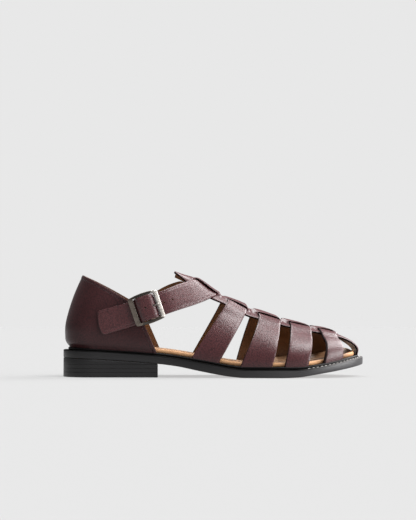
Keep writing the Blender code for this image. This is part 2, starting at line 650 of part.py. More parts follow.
def buckle_tab(material):
    """A tab from the heel part that goes round the pin, slotted for the prong."""
    radius = PIN_RADIUS + GAP + TAB_THICK / 2
    turns = np.radians(np.linspace(-95, 170, 14))
    eye = [(radius * np.cos(a), -PIN_DROP + radius * np.sin(a)) for a in turns]
    leaf = [(-TAB_LONG + part * (TAB_LONG - TAB_RISE[0]), TAB_REAR + part * (TAB_RISE[1] - TAB_REAR))
            for part in np.linspace(0, 1, 5)]
    path = np.array(leaf + eye)
    along = np.gradient(path, axis=0)
    along /= np.linalg.norm(along, axis=1)[:, None]
    across = np.array((-TAB_WIDE / 2, -TAB_SLOT / 2, TAB_SLOT / 2, TAB_WIDE / 2))
    faces = []
    for side in (1, -1):
        offset = side * TAB_THICK / 2
        faces.append(on_buckle([[(x + offset * dz, a, z - offset * dx) for a in across]
                                for (x, z), (dx, dz) in zip(path, along)]))
    kept = np.ones((len(path) - 1, len(across) - 1), bool)
    kept[len(leaf) - 1:, 1] = False
    return shell("buckle_tab", faces[0][:, ::-1], faces[1][:, ::-1], kept[:, ::-1], material)


def join(piece, guide):
    """Unites piece with guide, which stays in the file as a wire guide."""
    union = piece.modifiers.new("joined", "BOOLEAN")
    union.operation = "UNION"
    union.solver = "EXACT"
    union.object = guide
    guide.hide_render = True
    guide.display_type = "WIRE"


def clear_scene():
    for piece in list(bpy.data.objects):
        bpy.data.objects.remove(piece)


def main():
    clear_scene()
    black = new_material("black_sole", (0.02, 0.019, 0.02), 0.55)
    tan = new_material("tan_leather", (0.58, 0.34, 0.18), 0.6)
    burgundy = new_material("burgundy_leather", (0.09, 0.035, 0.04), 0.45)
    metal = new_material("antique_silver", (0.6, 0.57, 0.54), 0.3, 1.0)
    plate("outsole", (
        (SOLE_EDGE_ROUND, underside),
        (0, lambda x: underside(x) + SOLE_EDGE_ROUND),
        (0, lambda x: sole_top(x) - SOLE_EDGE_ROUND),
        (SOLE_EDGE_ROUND, sole_top),
    ), black)
    inward, upward = MIDSOLE_BEVEL
    plate("midsole", (
        (LEDGE + inward, lambda x: sole_top(x) + GAP),
        (LEDGE, lambda x: sole_top(x) + GAP + upward),
        (LEDGE, lambda x: midsole_top(x) - upward),
        (LEDGE + inward, midsole_top),
    ), black)
    plate("insole", (
        (INSOLE_INSET, insole_base),
        (INSOLE_INSET, lambda x: insole_base(x) + INSOLE_THICK - INSOLE_BEVEL),
        (INSOLE_INSET + INSOLE_BEVEL, lambda x: insole_base(x) + INSOLE_THICK),
    ), tan)
    heel(black)
    join(front_straps(burgundy), ankle_strap(burgundy))
    quarter(burgundy)
    buckle(metal)
    buckle_tab(burgundy)


main()
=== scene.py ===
"""Looks of the fisherman sandal: woven burgundy leather, tan insole, black sole and a silver buckle.

Sizes and tables are millimetres from the back of the heel (x), from the heel's centre line (y) and from
the floor (z), as in the part's source; place() turns them into the frame's metres.
"""
import math

import bpy
import numpy as np
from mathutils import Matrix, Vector


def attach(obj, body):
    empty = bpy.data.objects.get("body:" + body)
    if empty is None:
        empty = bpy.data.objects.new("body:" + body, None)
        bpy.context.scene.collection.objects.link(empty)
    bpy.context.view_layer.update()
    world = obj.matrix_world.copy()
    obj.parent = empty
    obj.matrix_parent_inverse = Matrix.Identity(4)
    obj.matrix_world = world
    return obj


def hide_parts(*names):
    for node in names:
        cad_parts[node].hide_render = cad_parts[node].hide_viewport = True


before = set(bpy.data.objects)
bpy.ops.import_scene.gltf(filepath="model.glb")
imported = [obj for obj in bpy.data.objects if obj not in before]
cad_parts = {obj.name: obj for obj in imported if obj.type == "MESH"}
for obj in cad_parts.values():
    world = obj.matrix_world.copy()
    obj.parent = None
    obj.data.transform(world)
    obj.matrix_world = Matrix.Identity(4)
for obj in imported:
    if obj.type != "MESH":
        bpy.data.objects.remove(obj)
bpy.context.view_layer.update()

MM = 0.001

# Driving sizes, mm
SHOE_LENGTH = 298.0
HEEL_LENGTH = 92.8
BREAST_SLANT = 2.5        # the heel's front face runs this much further forward at its outer edge
MIDSOLE_THICK = 2.2
INSOLE_THICK = 4.0
GAP = 0.3                 # between neighbouring pieces
FEATHER_GAP = 0.5         # between the midsole and the upper
LEDGE = 4.7               # the outsole stands out this far under the midsole
FEATHER_INSET = 5.3       # the upper's outer face at the midsole, from the outsole's edge
INSOLE_INSET = 8.7
HEEL_INSET = 0.05
LEATHER = 1.9             # thickness of the straps and the band
QUARTER_WALL = 2.2
BAND_HALF = 12.0
STRAP_OVER = 1.9          # a strap over the band's margin
STRAP_UNDER = 0.8         # a strap under the band's middle
SLIT_ROW = 0.2            # the slits' place across the band, whose edge is at BAND_ROW
SLIT_HALF = 0.035         # half of a slit's width
TUCK = 1.2                # how far the upper runs down beside the insole

# Buckle, measured along the strap, across it and outwards
FRAME_LONG, FRAME_WIDE, FRAME_THICK = 30.4, 28.0, 2.2
REAR_BAR, FRONT_BAR, RAIL = 5.0, 4.3, 1.7
FRAME_CORNER = 2.2
PIN_RADIUS, PIN_DROP = 1.1, 1.6
PRONG_THICK = 1.5
PRONG_RISE = ((5.0, 0.5), (7.0, 0.7), (8.8, 1.4))
TAB_THICK, TAB_WIDE, TAB_LONG, TAB_SLOT = 1.0, 20.0, 19.0, 3.4
TAB_REAR, TAB_RISE = -5.75, (3.4, -4.0)
BUCKLE_STATION = 3        # the ankle strap's station at the buckle's middle
STATION_LONG = 18.6       # length of strap from station to station
HUMP, HUMP_HALF, HUMP_POWER = 5.2, 10.2, 4    # the strap's rise over the pin

# The sole's outline: half breadths on both sides of a centre line, closed by rounds at both ends
OUTLINE_COLUMNS = ("x", "outer", "inner", "centre")
OUTLINE = (
    (0, 34.0, 34.0, 0.0),
    (30, 33.0, 33.0, 0.0),
    (70, 33.0, 32.0, 0.0),
    (110, 34.5, 29.0, 0.0),
    (140, 38.5, 29.5, 0.0),
    (170, 45.0, 36.5, 0.0),
    (200, 50.0, 45.5, 0.5),
    (225, 51.0, 50.5, 1.5),
    (250, 49.0, 51.0, 2.5),
    (275, 46.5, 49.0, 3.5),
    (298, 45.0, 47.0, 4.0),
)
HEEL_ROUND, HEEL_POWER = 34.0, 2.25
TOE_ROUND, TOE_POWER = 66.0, 2.0

UNDERSIDE_COLUMNS = ("x", "z", "thick")
UNDERSIDE = (
    (0, 18.9, 8.0), (40, 17.1, 8.0), (70, 15.2, 8.0), (94, 13.2, 8.0), (112, 11.0, 8.0),
    (135, 6.4, 8.7), (150, 3.5, 8.9), (166, 1.0, 8.5), (180, 0.0, 8.0), (215, 0.0, 8.0),
    (230, 0.6, 7.4), (250, 3.5, 6.8), (270, 6.7, 7.3), (285, 9.5, 7.9), (298, 12.2, 7.8),
)

# Slanted sections over the foot: x at the sole, the ridge, the shoulder's height and the ridge's
# breadth as shares, the sides' bulge, and the band's middle as a distance from the ridge
LAST_COLUMNS = ("base_x", "ridge_x", "ridge_z", "ridge_y", "rise", "crown", "bulge", "band")
LAST = (
    (86, 108, 105.6, 2.0, 0.50, 1.30, 0.0, -2.0),
    (98, 121, 101.2, 2.5, 0.48, 0.66, 0.0, -2.0),
    (108, 134, 96.6, 3.0, 0.46, 0.38, 0.0, -2.0),
    (117, 148, 86.4, 3.5, 0.46, 0.35, 0.8, -2.5),
    (128, 165, 76.8, 4.5, 0.50, 0.48, 2.4, -3.0),
    (157, 183, 68.4, 6.5, 0.52, 0.38, 3.2, -6.5),
    (176, 195, 64.2, 7.5, 0.55, 0.36, 3.2, -8.5),
    (206, 217, 56.6, 8.0, 0.60, 0.36, 3.2, -9.5),
    (232, 240, 50.6, 8.0, 0.64, 0.36, 3.2, -9.0),
    (252, 256, 46.9, 7.5, 0.66, 0.38, 2.4, -7.0),
    (268, 271, 42.6, 6.5, 0.66, 0.44, 1.9, -2.5),
    (277, 281, 38.6, 6.0, 0.64, 0.50, 1.3, 1.5),
    (280, 288.2, 34.6, 5.5, 0.60, 0.54, 0.6, 3.0),
    (281, 293.6, 28.4, 5.0, 0.58, 0.55, 0.2, 3.5),
    (281, 293.0, 21.8, 5.0, 0.56, 0.55, 0.0, 3.5),
)

# Cross straps: x of both edges at the sole (base), half way up (mid) and at the band (top) on the
# outer side, and how much further back they are on the inner side
STRAP_COLUMNS = ("rear_base", "rear_mid", "rear_top", "front_base", "front_mid", "front_top",
                 "back_base", "back_mid", "back_top")
CROSS_STRAPS = (
    (127.8, 143.9, 162.0, 154.2, 167.4, 180.9, 1.8, 3.9, 5.2),
    (174.7, 185.5, 194.2, 205.7, 211.5, 215.0, 3.5, 7.2, 6.7),
    (217.3, 222.3, 225.0, 240.8, 245.0, 245.4, 6, 10.5, 8),
    (255.7, 259.0, 254.2, 275.9, 276.6, 269.5, 7, 12, 8.5),
)
BAND_REAR = 111.5
END_LEVEL, END_DROP = 26.0, 1.5    # the band's free end: level outer half, dropped inner edge

# The heel part by level, 0 at the midsole and 1 at the topline: its back, and half breadths where
# its round back ends (side) and at its front edges
QUARTER_COLUMNS = ("level", "back_x", "side_outer", "side_inner", "front_outer", "front_inner")
QUARTER = (
    (0.00, 6.2, 27.8, 27.8, 28.6, 25.0),
    (0.06, 2.7, 29.4, 29.2, 29.6, 26.4),
    (0.14, 1.5, 30.2, 29.6, 30.2, 27.4),
    (0.25, 1.4, 30.6, 30.0, 30.4, 28.2),
    (0.36, 2.4, 30.4, 29.8, 30.2, 28.6),
    (0.52, 5.3, 29.2, 28.6, 29.6, 28.6),
    (0.70, 9.4, 27.4, 27.0, 28.4, 27.9),
    (1.00, 18.6, 24.5, 24.2, 27.0, 26.6),
)
TOPLINE_BACK_Z, TOPLINE_FRONT_X, TOPLINE_FRONT_Z = 100.6, 73.5, 69.6
QUARTER_FRONT_X = 93.5
QUARTER_ROUND = 28.0
ROUND_SHARE = 0.42
TOPLINE_CROWN = 1.3
INNER_FORWARD = 2.0

# The ankle strap's upper and lower edge by station, from its tail round to the inner side
ANKLE_COLUMNS = ("station", "upper_x", "upper_y", "upper_z", "lower_x", "lower_y", "lower_z")
ANKLE_STRAP = (
    (36.6, -31.2, 64.6, 42.0, -33.1, 41.0),
    (49.5, -31.8, 68.2, 57.0, -33.7, 45.6),
    (63.0, -32.4, 71.9, 70.5, -34.2, 49.6),
    (80.4, -32.4, 78.3, 88.2, -34.6, 55.9),
    (98.2, -30.6, 83.9, 105.6, -33.0, 62.2),
    (113.3, -22.4, 90.3, 121.5, -26.6, 67.8),
    (126.4, -11.0, 95.1, 138.2, -16.8, 74.0),
    (134.8, 2.4, 98.2, 152.6, -2.0, 81.0),
    (130.0, 15.2, 98.0, 146.0, 14.6, 78.0),
    (116.0, 24.6, 96.0, 128.5, 25.6, 73.0),
    (99.0, 29.8, 90.2, 109.0, 31.6, 66.4),
    (82.0, 31.2, 80.4, 92.0, 32.8, 58.0),
    (64.5, 31.2, 72.0, 74.5, 33.0, 49.6),
)
ANKLE_WIDE = 24.5
HOLE_PITCH = 9.3
PRONG_AT = 8.3             # the hole in use, along the strap from the middle of the buckle
HOLE, PRONG_SLOT = (0.95, 0.95), (2.0, 1.2)    # half sizes along and across the strap


def smooth(x):
    """0 below 0, 1 above 1, and an easy rise between."""
    x = np.clip(x, 0, 1)
    return x * x * (3 - 2 * x)


def fair_curve(xs, ys):
    """Natural cubic spline through the points; returns a function of x."""
    xs, ys = np.asarray(xs, float), np.asarray(ys, float)
    step, rise = np.diff(xs), np.diff(ys)
    count = len(xs)
    system, right = np.eye(count), np.zeros(count)
    for row in range(1, count - 1):
        system[row, row - 1:row + 2] = step[row - 1], 2 * (step[row - 1] + step[row]), step[row]
        right[row] = 6 * (rise[row] / step[row] - rise[row - 1] / step[row - 1])
    bend = np.linalg.solve(system, right)

    def value(x):
        cell = np.clip(np.searchsorted(xs, x) - 1, 0, count - 2)
        before, after, width = x - xs[cell], xs[cell + 1] - x, step[cell]
        return ((bend[cell] * after ** 3 + bend[cell + 1] * before ** 3) / (6 * width)
                + (ys[cell] / width - bend[cell] * width / 6) * after
                + (ys[cell + 1] / width - bend[cell + 1] * width / 6) * before)
    return value


def steady_curve(xs, ys):
    """Monotone cubic through the points, flat where the points are level."""
    xs, ys = np.asarray(xs, float), np.asarray(ys, float)
    step = np.diff(xs)
    slope = np.diff(ys) / step
    tangent = np.concatenate(([slope[0]], np.zeros(len(xs) - 2), [slope[-1]]))
    for row in range(1, len(xs) - 1):
        if slope[row - 1] * slope[row] > 0:
            near, far = 2 * step[row] + step[row - 1], step[row] + 2 * step[row - 1]
            tangent[row] = (near + far) / (near / slope[row - 1] + far / slope[row])

    def value(x):
        cell = np.clip(np.searchsorted(xs, x) - 1, 0, len(xs) - 2)
        width = step[cell]
        part = (x - xs[cell]) / width
        return ((1 + 2 * part) * (1 - part) ** 2 * ys[cell] + part * (1 - part) ** 2 * width * tangent[cell]
                + part ** 2 * (3 - 2 * part) * ys[cell + 1]
                + part ** 2 * (part - 1) * width * tangent[cell + 1])
    return value


def read_line(at, spots, line):
    """The point of a line where spots, which has a value for each of its points, reaches at."""
    return np.array([np.interp(at, spots, line[:, axis]) for axis in range(3)])


def named_curves(names, table, make=fair_curve):
    """One curve for each named column, all as functions of the table's first column."""
    table = np.array(table, float)
    return {name: make(table[:, 0], table[:, col]) for col, name in enumerate(names) if col > 0}


# ---------------------------------------------------------------- shapes of the sole

outline = named_curves(OUTLINE_COLUMNS, OUTLINE)
sole_curves = named_curves(UNDERSIDE_COLUMNS, UNDERSIDE, steady_curve)
underside, sole_thick = sole_curves["z"], sole_curves["thick"]


def sole_top(x):
    return underside(x) + sole_thick(x)


def midsole_top(x):
    return sole_top(x) + GAP + MIDSOLE_THICK


def insole_base(x):
    return midsole_top(x) + GAP


def end_round(x):
    """Closes the outline: 1 along the shoe, down to 0 at the heel's back and the toe's tip."""
    heel = np.clip((HEEL_ROUND - x) / HEEL_ROUND, 0, 1)
    toe = np.clip((x - SHOE_LENGTH + TOE_ROUND) / TOE_ROUND, 0, 1)
    return (1 - heel ** HEEL_POWER) ** (1 / HEEL_POWER) * (1 - toe ** TOE_POWER) ** (1 / TOE_POWER)


def sole_sides(x):
    """y of the outline on the outer and on the inner side."""
    centre, closing = outline["centre"](x), end_round(x)
    return centre - outline["outer"](x) * closing, centre + outline["inner"](x) * closing


def width_middle():
    """y half way between the sole's widest points."""
    outer, inner = sole_sides(np.arange(SHOE_LENGTH))
    return (outer.min() + inner.max()) / 2


MIDDLE = np.array([SHOE_LENGTH / 2, width_middle(), 0])


def place(points):
    """Table millimetres to the frame's metres."""
    return (np.asarray(points, float) - MIDDLE) * MM


def outline_stations(end, count):
    """x stations from the back of the heel to end, close together where the outline is round."""
    turn = np.linspace(0, np.pi / 2, 28)
    heel = HEEL_ROUND * (1 - np.cos(turn))
    if end < SHOE_LENGTH:
        return np.concatenate((heel, np.linspace(HEEL_ROUND, end, count)[1:]))
    toe = SHOE_LENGTH - TOE_ROUND * (1 - np.sin(np.linspace(0, np.pi / 2, 44)))
    return np.concatenate((heel, np.linspace(HEEL_ROUND, SHOE_LENGTH - TOE_ROUND, count)[1:-1], toe))


def sole_ring(inset, end=SHOE_LENGTH, count=90):
    """Outline moved inwards: outer-side points from heel to end, then inner-side points back."""
    x = outline_stations(end, count)
    outer, inner = sole_sides(x)
    back = slice(-2, 0, -1) if end == SHOE_LENGTH else slice(-1, 0, -1)
    ring = np.concatenate((np.stack((x, outer), 1), np.stack((x[back], inner[back]), 1)))
    along = np.roll(ring, -1, 0) - np.roll(ring, 1, 0)
    inward = np.stack((-along[:, 1], along[:, 0]), 1) / np.linalg.norm(along, axis=1)[:, None]
    ring = ring + inset * inward
    if end < SHOE_LENGTH:
        forward = np.clip((ring[:, 0] - HEEL_ROUND) / (end - HEEL_ROUND), 0, 1)
        ring[:, 0] -= BREAST_SLANT * forward * ring[:, 1] / outline["outer"](end)
    return ring, len(x)


# ---------------------------------------------------------------- shapes of the upper

BAND_ROW = 0.5
STRAP_ROWS = {"base": 1.0, "mid": 0.78, "top": BAND_ROW}


def feather_sides(x):
    """y of the upper's outer face at the midsole, outer and inner side."""
    ring, count = sole_ring(FEATHER_INSET)
    outer, inner = ring[:count], np.concatenate((ring[:1], ring[:count - 2:-1]))
    return np.interp(x, outer[:, 0], outer[:, 1]), np.interp(x, inner[:, 0], inner[:, 1])


class Last:
    """Outer face of the cross straps over the foot; works on whole arrays of u and row."""

    def __init__(self, samples=241, steps=160):
        self.samples, self.steps = samples, steps
        self.end = float(len(LAST) - 1)
        section = {}
        for name, values in zip(LAST_COLUMNS, np.array(LAST, float).T):
            make = steady_curve if name == "base_x" else fair_curve
            section[name] = make(np.arange(len(LAST)), values)(np.linspace(0, self.end, samples))
        self.band = section["band"]
        halves = [self.half(side, section) for side in feather_sides(section["base_x"])]
        self.points = np.stack([points for points, whole in halves])
        self.whole = np.stack([whole for points, whole in halves])

    def half(self, side, section):
        """Half sections from the ridge to the sole's edge, evenly spaced, and their lengths."""
        t = np.linspace(0, 1, 81)
        a, b, c, d = (1 - t) ** 3, 3 * (1 - t) ** 2 * t, 3 * (1 - t) * t ** 2, t ** 3
        column = {name: values[:, None] for name, values in section.items()}
        base_z = midsole_top(column["base_x"]) + FEATHER_GAP
        reach = side[:, None] - column["ridge_y"]
        swell = np.sign(reach) * column["bulge"]
        across = b * column["crown"] * reach + c * (reach + swell) + d * reach
        height = a + b + c * column["rise"]
        points = np.stack((column["base_x"] + (column["ridge_x"] - column["base_x"]) * height,
                           column["ridge_y"] + across,
                           base_z + (column["ridge_z"] - base_z) * height), 2)
        steps = np.linalg.norm(np.diff(points, axis=1), axis=2)
        lengths = np.concatenate((np.zeros((len(side), 1)), np.cumsum(steps, axis=1)), axis=1)
        even = np.linspace(0, 1, self.steps + 1)
        spaced = np.stack([read_line(even * run[-1], run, line).T for run, line in zip(lengths, points)])
        return spaced, lengths[:, -1]

    def line_point(self, line, row):
        distance = self.band[line] + BAND_HALF * np.clip(row / BAND_ROW, -1, 1)
        side = (distance >= 0).astype(int)
        whole = self.whole[side, line]
        signed = np.where(distance < 0, -whole, whole)
        outside = np.clip((np.abs(row) - BAND_ROW) / (1 - BAND_ROW), 0, 1)
        distance = distance + (signed - distance) * outside
        spot = np.clip(np.abs(distance) / whole, 0, 1) * self.steps
        cell = np.minimum(spot.astype(int), self.steps - 1)
        part = (spot - cell)[..., None]
        return (1 - part) * self.points[side, line, cell] + part * self.points[side, line, cell + 1]

    def point(self, u, row):
        """row is -1 at the outer sole edge, 1 at the inner one; within BAND_ROW it is on the band."""
        u, row = np.broadcast_arrays(np.asarray(u, float), np.asarray(row, float))
        spot = np.clip(u, 0, self.end) / self.end * (self.samples - 1)
        line = np.minimum(spot.astype(int), self.samples - 2)
        part = (spot - line)[..., None]
        return (1 - part) * self.line_point(line, row) + part * self.line_point(line + 1, row)

    def normal(self, u, row):
        u, row = np.broadcast_arrays(np.asarray(u, float), np.asarray(row, float))
        along = self.point(np.minimum(u + 0.04, self.end), row) - self.point(np.maximum(u - 0.04, 0), row)
        across = self.point(u, np.minimum(row + 0.012, 1)) - self.point(u, np.maximum(row - 0.012, -1))
        outward = np.cross(along, across)
        return outward / np.maximum(np.linalg.norm(outward, axis=-1), 1e-9)[..., None]

    def u_at(self, x, row):
        """The section number whose point on this row has the wanted x."""
        low, high = 0.0, self.end
        for _ in range(40):
            middle = (low + high) / 2
            low, high = (middle, high) if self.point(middle, row)[0] < x else (low, middle)
        return (low + high) / 2


last = Last()


def strap_edge(strap, edge):
    """Section number of one strap edge as a function of row: a bend through base, middle and top."""
    outer, inner = [], []
    for spot, row in STRAP_ROWS.items():
        x = strap[f"{edge}_{spot}"]
        outer.append((row, last.u_at(x, -row)))
        inner.append((row, last.u_at(x - strap[f"back_{spot}"], row)))
    outer, inner = (fair_curve(*zip(*side[::-1])) for side in (outer, inner))

    def line(row):
        share = smooth((row + BAND_ROW) / (2 * BAND_ROW))
        return (1 - share) * outer(np.maximum(-row, BAND_ROW)) + share * inner(np.maximum(row, BAND_ROW))
    return line


STRAP_EDGES = [[strap_edge(dict(zip(STRAP_COLUMNS, values)), edge) for edge in ("rear", "front")]
               for values in CROSS_STRAPS]


ankle_curves = named_curves(ANKLE_COLUMNS, np.column_stack((np.arange(len(ANKLE_STRAP)), ANKLE_STRAP)))
quarter_curves = named_curves(QUARTER_COLUMNS, QUARTER)


def ankle_base(station, across):
    """The ankle strap's outer face before it rises over the buckle's pin."""
    upper, lower = (np.stack([ankle_curves[f"{edge}_{axis}"](station) for axis in "xyz"], -1)
                    for edge in ("upper", "lower"))
    across = np.asarray(across)[..., None]
    return (1 - across) * upper + across * lower


def grid_normals(grid):
    along = np.gradient(grid, axis=0)
    across = np.gradient(grid, axis=1)
    outward = np.cross(along, across)
    return outward / np.linalg.norm(outward, axis=2)[:, :, None]


def quarter_point(around, level):
    """Outer face of the heel part; around is -1 at the outer front edge, 0 at the back, 1 inside."""
    around, level = np.broadcast_arrays(np.asarray(around, float), np.asarray(level, float))
    column = {name: curve(level) for name, curve in quarter_curves.items()}
    on_outer = around < 0
    side = np.where(on_outer, column["side_outer"], column["side_inner"])
    front = np.where(on_outer, column["front_outer"], column["front_inner"])
    back_x = column["back_x"]
    front_x = QUARTER_FRONT_X + (TOPLINE_FRONT_X - QUARTER_FRONT_X) * level
    front_x = front_x + np.where(around > 0, INNER_FORWARD, 0.0)
    turn = np.minimum(np.abs(around) / ROUND_SHARE, 1) * np.pi / 2
    straight = np.maximum(np.abs(around) - ROUND_SHARE, 0) / (1 - ROUND_SHARE)
    x = back_x + QUARTER_ROUND * (1 - np.cos(turn)) + straight * (front_x - back_x - QUARTER_ROUND)
    y = side + (front - side) * smooth(straight)
    y = y * (1 - np.maximum(np.cos(turn), 0) ** HEEL_POWER) ** (1 / HEEL_POWER)
    low = midsole_top(x) + FEATHER_GAP
    along_top = (x - back_x) / (front_x - back_x)
    high = (TOPLINE_BACK_Z + (TOPLINE_FRONT_Z - TOPLINE_BACK_Z) * along_top
            + TOPLINE_CROWN * 4 * along_top * (1 - along_top))
    return np.stack((x, np.sign(around) * y, low + (high - low) * level), -1)


# ---------------------------------------------------------------- mesh helpers

def add_object(name, data):
    piece = bpy.data.objects.new(name, data)
    bpy.context.scene.collection.objects.link(piece)
    return piece


def new_piece(name, points, faces, materials, slot, replaced=(), face_material=None):
    """A piece riding on the shoe, from table points; face_material gives each face's material number."""
    mesh = bpy.data.meshes.new(name)
    mesh.from_pydata(place(points).tolist(), [], faces)
    for material in materials:
        mesh.materials.append(material)
    if face_material is not None:
        mesh.polygons.foreach_set("material_index", np.asarray(face_material, np.int32))
    mesh.validate()
    mesh.shade_smooth()
    piece = add_object(name, mesh)
    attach(piece, "root")
    if replaced:
        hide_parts(*replaced)
    return piece


def round_edges(piece, width, segments=3, angle=50):
    """Rounds every edge sharper than angle; width in mm."""
    bevel = piece.modifiers.new("round_edges", "BEVEL")
    bevel.limit_method = "ANGLE"
    bevel.angle_limit = math.radians(angle)
    bevel.width = width * MM
    bevel.segments = segments
    return bevel


def wall(name, outside, inside, kept, materials, replaced=(), painted=None, bare=False):
    """A closed wall of the upper from two matching grids; kept says which cells are there.

    Its materials are those of the outer face, the cut edges and the inner face; painted says
    which outer cells belong to the edge, and bare that the last cut edge looks like the outer face.
    """
    painted = np.zeros_like(kept) if painted is None else painted
    used, points, faces, numbers = {}, [], [], []

    def corner(side, i, j):
        if (side, i, j) not in used:
            used[side, i, j] = len(points)
            points.append((outside if side else inside)[i, j])
        return used[side, i, j]

    padded = np.pad(kept, 1)
    for i, j in np.argwhere(kept):
        square = ((i, j), (i + 1, j), (i + 1, j + 1), (i, j + 1))
        faces += [[corner(1, *c) for c in square], [corner(0, *c) for c in square[::-1]]]
        numbers += [int(painted[i, j]), 2]
        neighbours = ((i, j - 1), (i + 1, j), (i, j + 1), (i - 1, j))
        for start, stop, (ni, nj) in zip(square, square[1:] + square[:1], neighbours):
            if not padded[ni + 1, nj + 1]:
                faces.append([corner(1, *stop), corner(1, *start), corner(0, *start), corner(0, *stop)])
                numbers.append(0 if bare and ni == len(kept) else 1)
    return new_piece(name, np.array(points), faces, materials, "upper", replaced, numbers)


def edge_spaced(width, fine, step):
    """Distances across a strap: fine steps near both edges, the wide step between."""
    inner = np.linspace(fine[-1], width - fine[-1], max(2, int(round((width - 2 * fine[-1]) / step)) + 1))
    return np.concatenate((fine[:-1], inner, width - np.array(fine[:-1])[::-1]))


def mirrored(values):
    """Rising negative values that end at 0, followed by their mirror image."""
    return np.concatenate((values, -values[-2::-1]))


def arc_lengths(line):
    """Distance run along a line of points."""
    return np.concatenate(([0], np.cumsum(np.linalg.norm(np.diff(line, axis=0), axis=1))))


def rings_mesh(rings, loop=False, capped=True):
    """Points and faces of a skin over a list of rings."""
    rings = np.asarray(rings)
    count, size = rings.shape[:2]
    faces = []
    for i in range(count if loop else count - 1):
        low, high = i * size, (i + 1) % count * size
        for j in range(size):
            k = (j + 1) % size
            faces.append((low + j, low + k, high + k, high + j))
    if capped and not loop:
        faces += [tuple(range(size))[::-1], tuple((count - 1) * size + j for j in range(size))]
    return rings.reshape(-1, 3), faces


def joined(parts):
    """Several (points, faces) as one."""
    points, faces, start = [], [], 0
    for part_points, part_faces in parts:
        points.append(part_points)
        faces += [tuple(start + v for v in face) for face in part_faces]
        start += len(part_points)
    return np.concatenate(points), faces


def stitch(start, stop, up, radius):
    """One stitch: a thread that comes up, lies flat and goes down again."""
    side = np.cross(up, stop - start)
    side /= np.linalg.norm(side)
    rings = []
    for part in (0.0, 0.12, 0.3, 0.5, 0.7, 0.88, 1.0):
        arch = math.sin(math.pi * part) ** 0.5
        thick = radius * (0.75 + 0.25 * arch)
        centre = start + (stop - start) * part + up * radius * (arch * 0.9 - 0.5)
        rings.append([centre + thick * (math.cos(a) * side + math.sin(a) * up)
                      for a in np.linspace(0, 2 * math.pi, 8, endpoint=False)])
    return rings_mesh([ring[::-1] for ring in rings])


def stitch_row(name, line, ups, pitch, share, radius, material):
    """Stitches along a line of points; share is a stitch's part of the pitch."""
    lengths = arc_lengths(line)
    parts = []
    for number in range(int(lengths[-1] / pitch)):
        rear, middle, front = (pitch * (number + 0.5 + side * share / 2) for side in (-1, 0, 1))
        up = read_line(middle, lengths, ups)
        start, stop = (read_line(spot, lengths, line) for spot in (rear, front))
        parts.append(stitch(start, stop, up / np.linalg.norm(up), radius))
    return new_piece(name, *joined(parts), [material], "thread")


# ---------------------------------------------------------------- materials

COLOUR_A, COLOUR_B, COLOUR_OUT = 6, 7, 2    # numbers of the Mix node's colour sockets


def fill(tree, socket, value):
    """Gives a socket an output, a colour of three numbers, a vector or a number."""
    if isinstance(value, bpy.types.NodeSocket):
        tree.links.new(value, socket)
    elif socket.type == "RGBA":
        socket.default_value = (*value, 1)
    else:
        socket.default_value = value


def add_node(tree, kind, inputs=None, **settings):
    """A node of that kind; inputs gives sockets by name or number."""
    made = tree.nodes.new("ShaderNode" + kind)
    for name, value in settings.items():
        setattr(made, name, value)
    for name, value in (inputs or {}).items():
        fill(tree, made.inputs[name], value)
    return made


class Shading:
    """Small helper around one material's nodes; lengths are mm, a colour is a tuple or an output."""

    def __init__(self, name):
        self.material = bpy.data.materials.new(name)
        self.material.use_nodes = True
        self.tree = self.material.node_tree
        self.spot = self.place = self.node("TexCoord").outputs["Object"]

    def node(self, kind, inputs=None, **settings):
        return add_node(self.tree, kind, inputs, **settings)

    def noise(self, size, detail=3.0):
        """Noise whose features are size mm across."""
        inputs = {"Scale": 1 / (size * MM), "Detail": detail, "Roughness": 0.55, "Vector": self.place}
        return self.node("TexNoise", inputs).outputs["Fac"]

    def cells(self, size):
        """Round cells size mm across."""
        inputs = {"Scale": 1 / (size * MM), "Smoothness": 0.35, "Vector": self.place}
        return self.node("TexVoronoi", inputs, feature="SMOOTH_F1").outputs["Distance"]

    def along(self, axis, start, stop):
        """0 to 1 between two table positions, start and stop in mm, along "X" or "Y"."""
        split = self.node("SeparateXYZ", {0: self.spot})
        low, high = ((spot - MIDDLE["XY".index(axis)]) * MM for spot in (start, stop))
        return self.ramp(split.outputs[axis], low, high)

    def ramp(self, value, low, high, start=0.0, stop=1.0):
        """value from low..high to start..stop."""
        inputs = {"Value": value, "From Min": low, "From Max": high, "To Min": start, "To Max": stop}
        return self.node("MapRange", inputs).outputs["Result"]

    def mix(self, factor, first, second):
        """Blend of two colours."""
        inputs = {"Factor": factor, COLOUR_A: first, COLOUR_B: second}
        return self.node("Mix", inputs, data_type="RGBA").outputs[COLOUR_OUT]

    def times(self, first, *others):
        for other in others:
            first = self.node("Math", {0: first, 1: other}, operation="MULTIPLY").outputs[0]
        return first

    def sum(self, first, second, scale):
        """first + second * scale."""
        return self.node("Math", {0: second, 1: scale, 2: first}, operation="MULTIPLY_ADD").outputs[0]

    def set(self, **values):
        """Shader sockets by name, with _ for a space."""
        shader = self.tree.nodes["Principled BSDF"]
        for name, value in values.items():
            fill(self.tree, shader.inputs[name.replace("_", " ")], value)

    def finished(self, colour, roughness, height, depth, **others):
        """The material with these looks; depth is the relief, in mm, of a height of 1."""
        relief = self.node("Bump", {"Strength": 1.0, "Distance": depth * MM, "Height": height})
        self.set(Base_Color=colour, Roughness=roughness, Normal=relief.outputs["Normal"], **others)
        return self.material


def shaded(colour, shade):
    return tuple(part * shade for part in colour)


BURGUNDIES = ((0.08, 0.0215, 0.024), (0.065, 0.0165, 0.0185), (0.04, 0.011, 0.013))
TANS = ((0.46, 0.24, 0.112), (0.6, 0.34, 0.175))


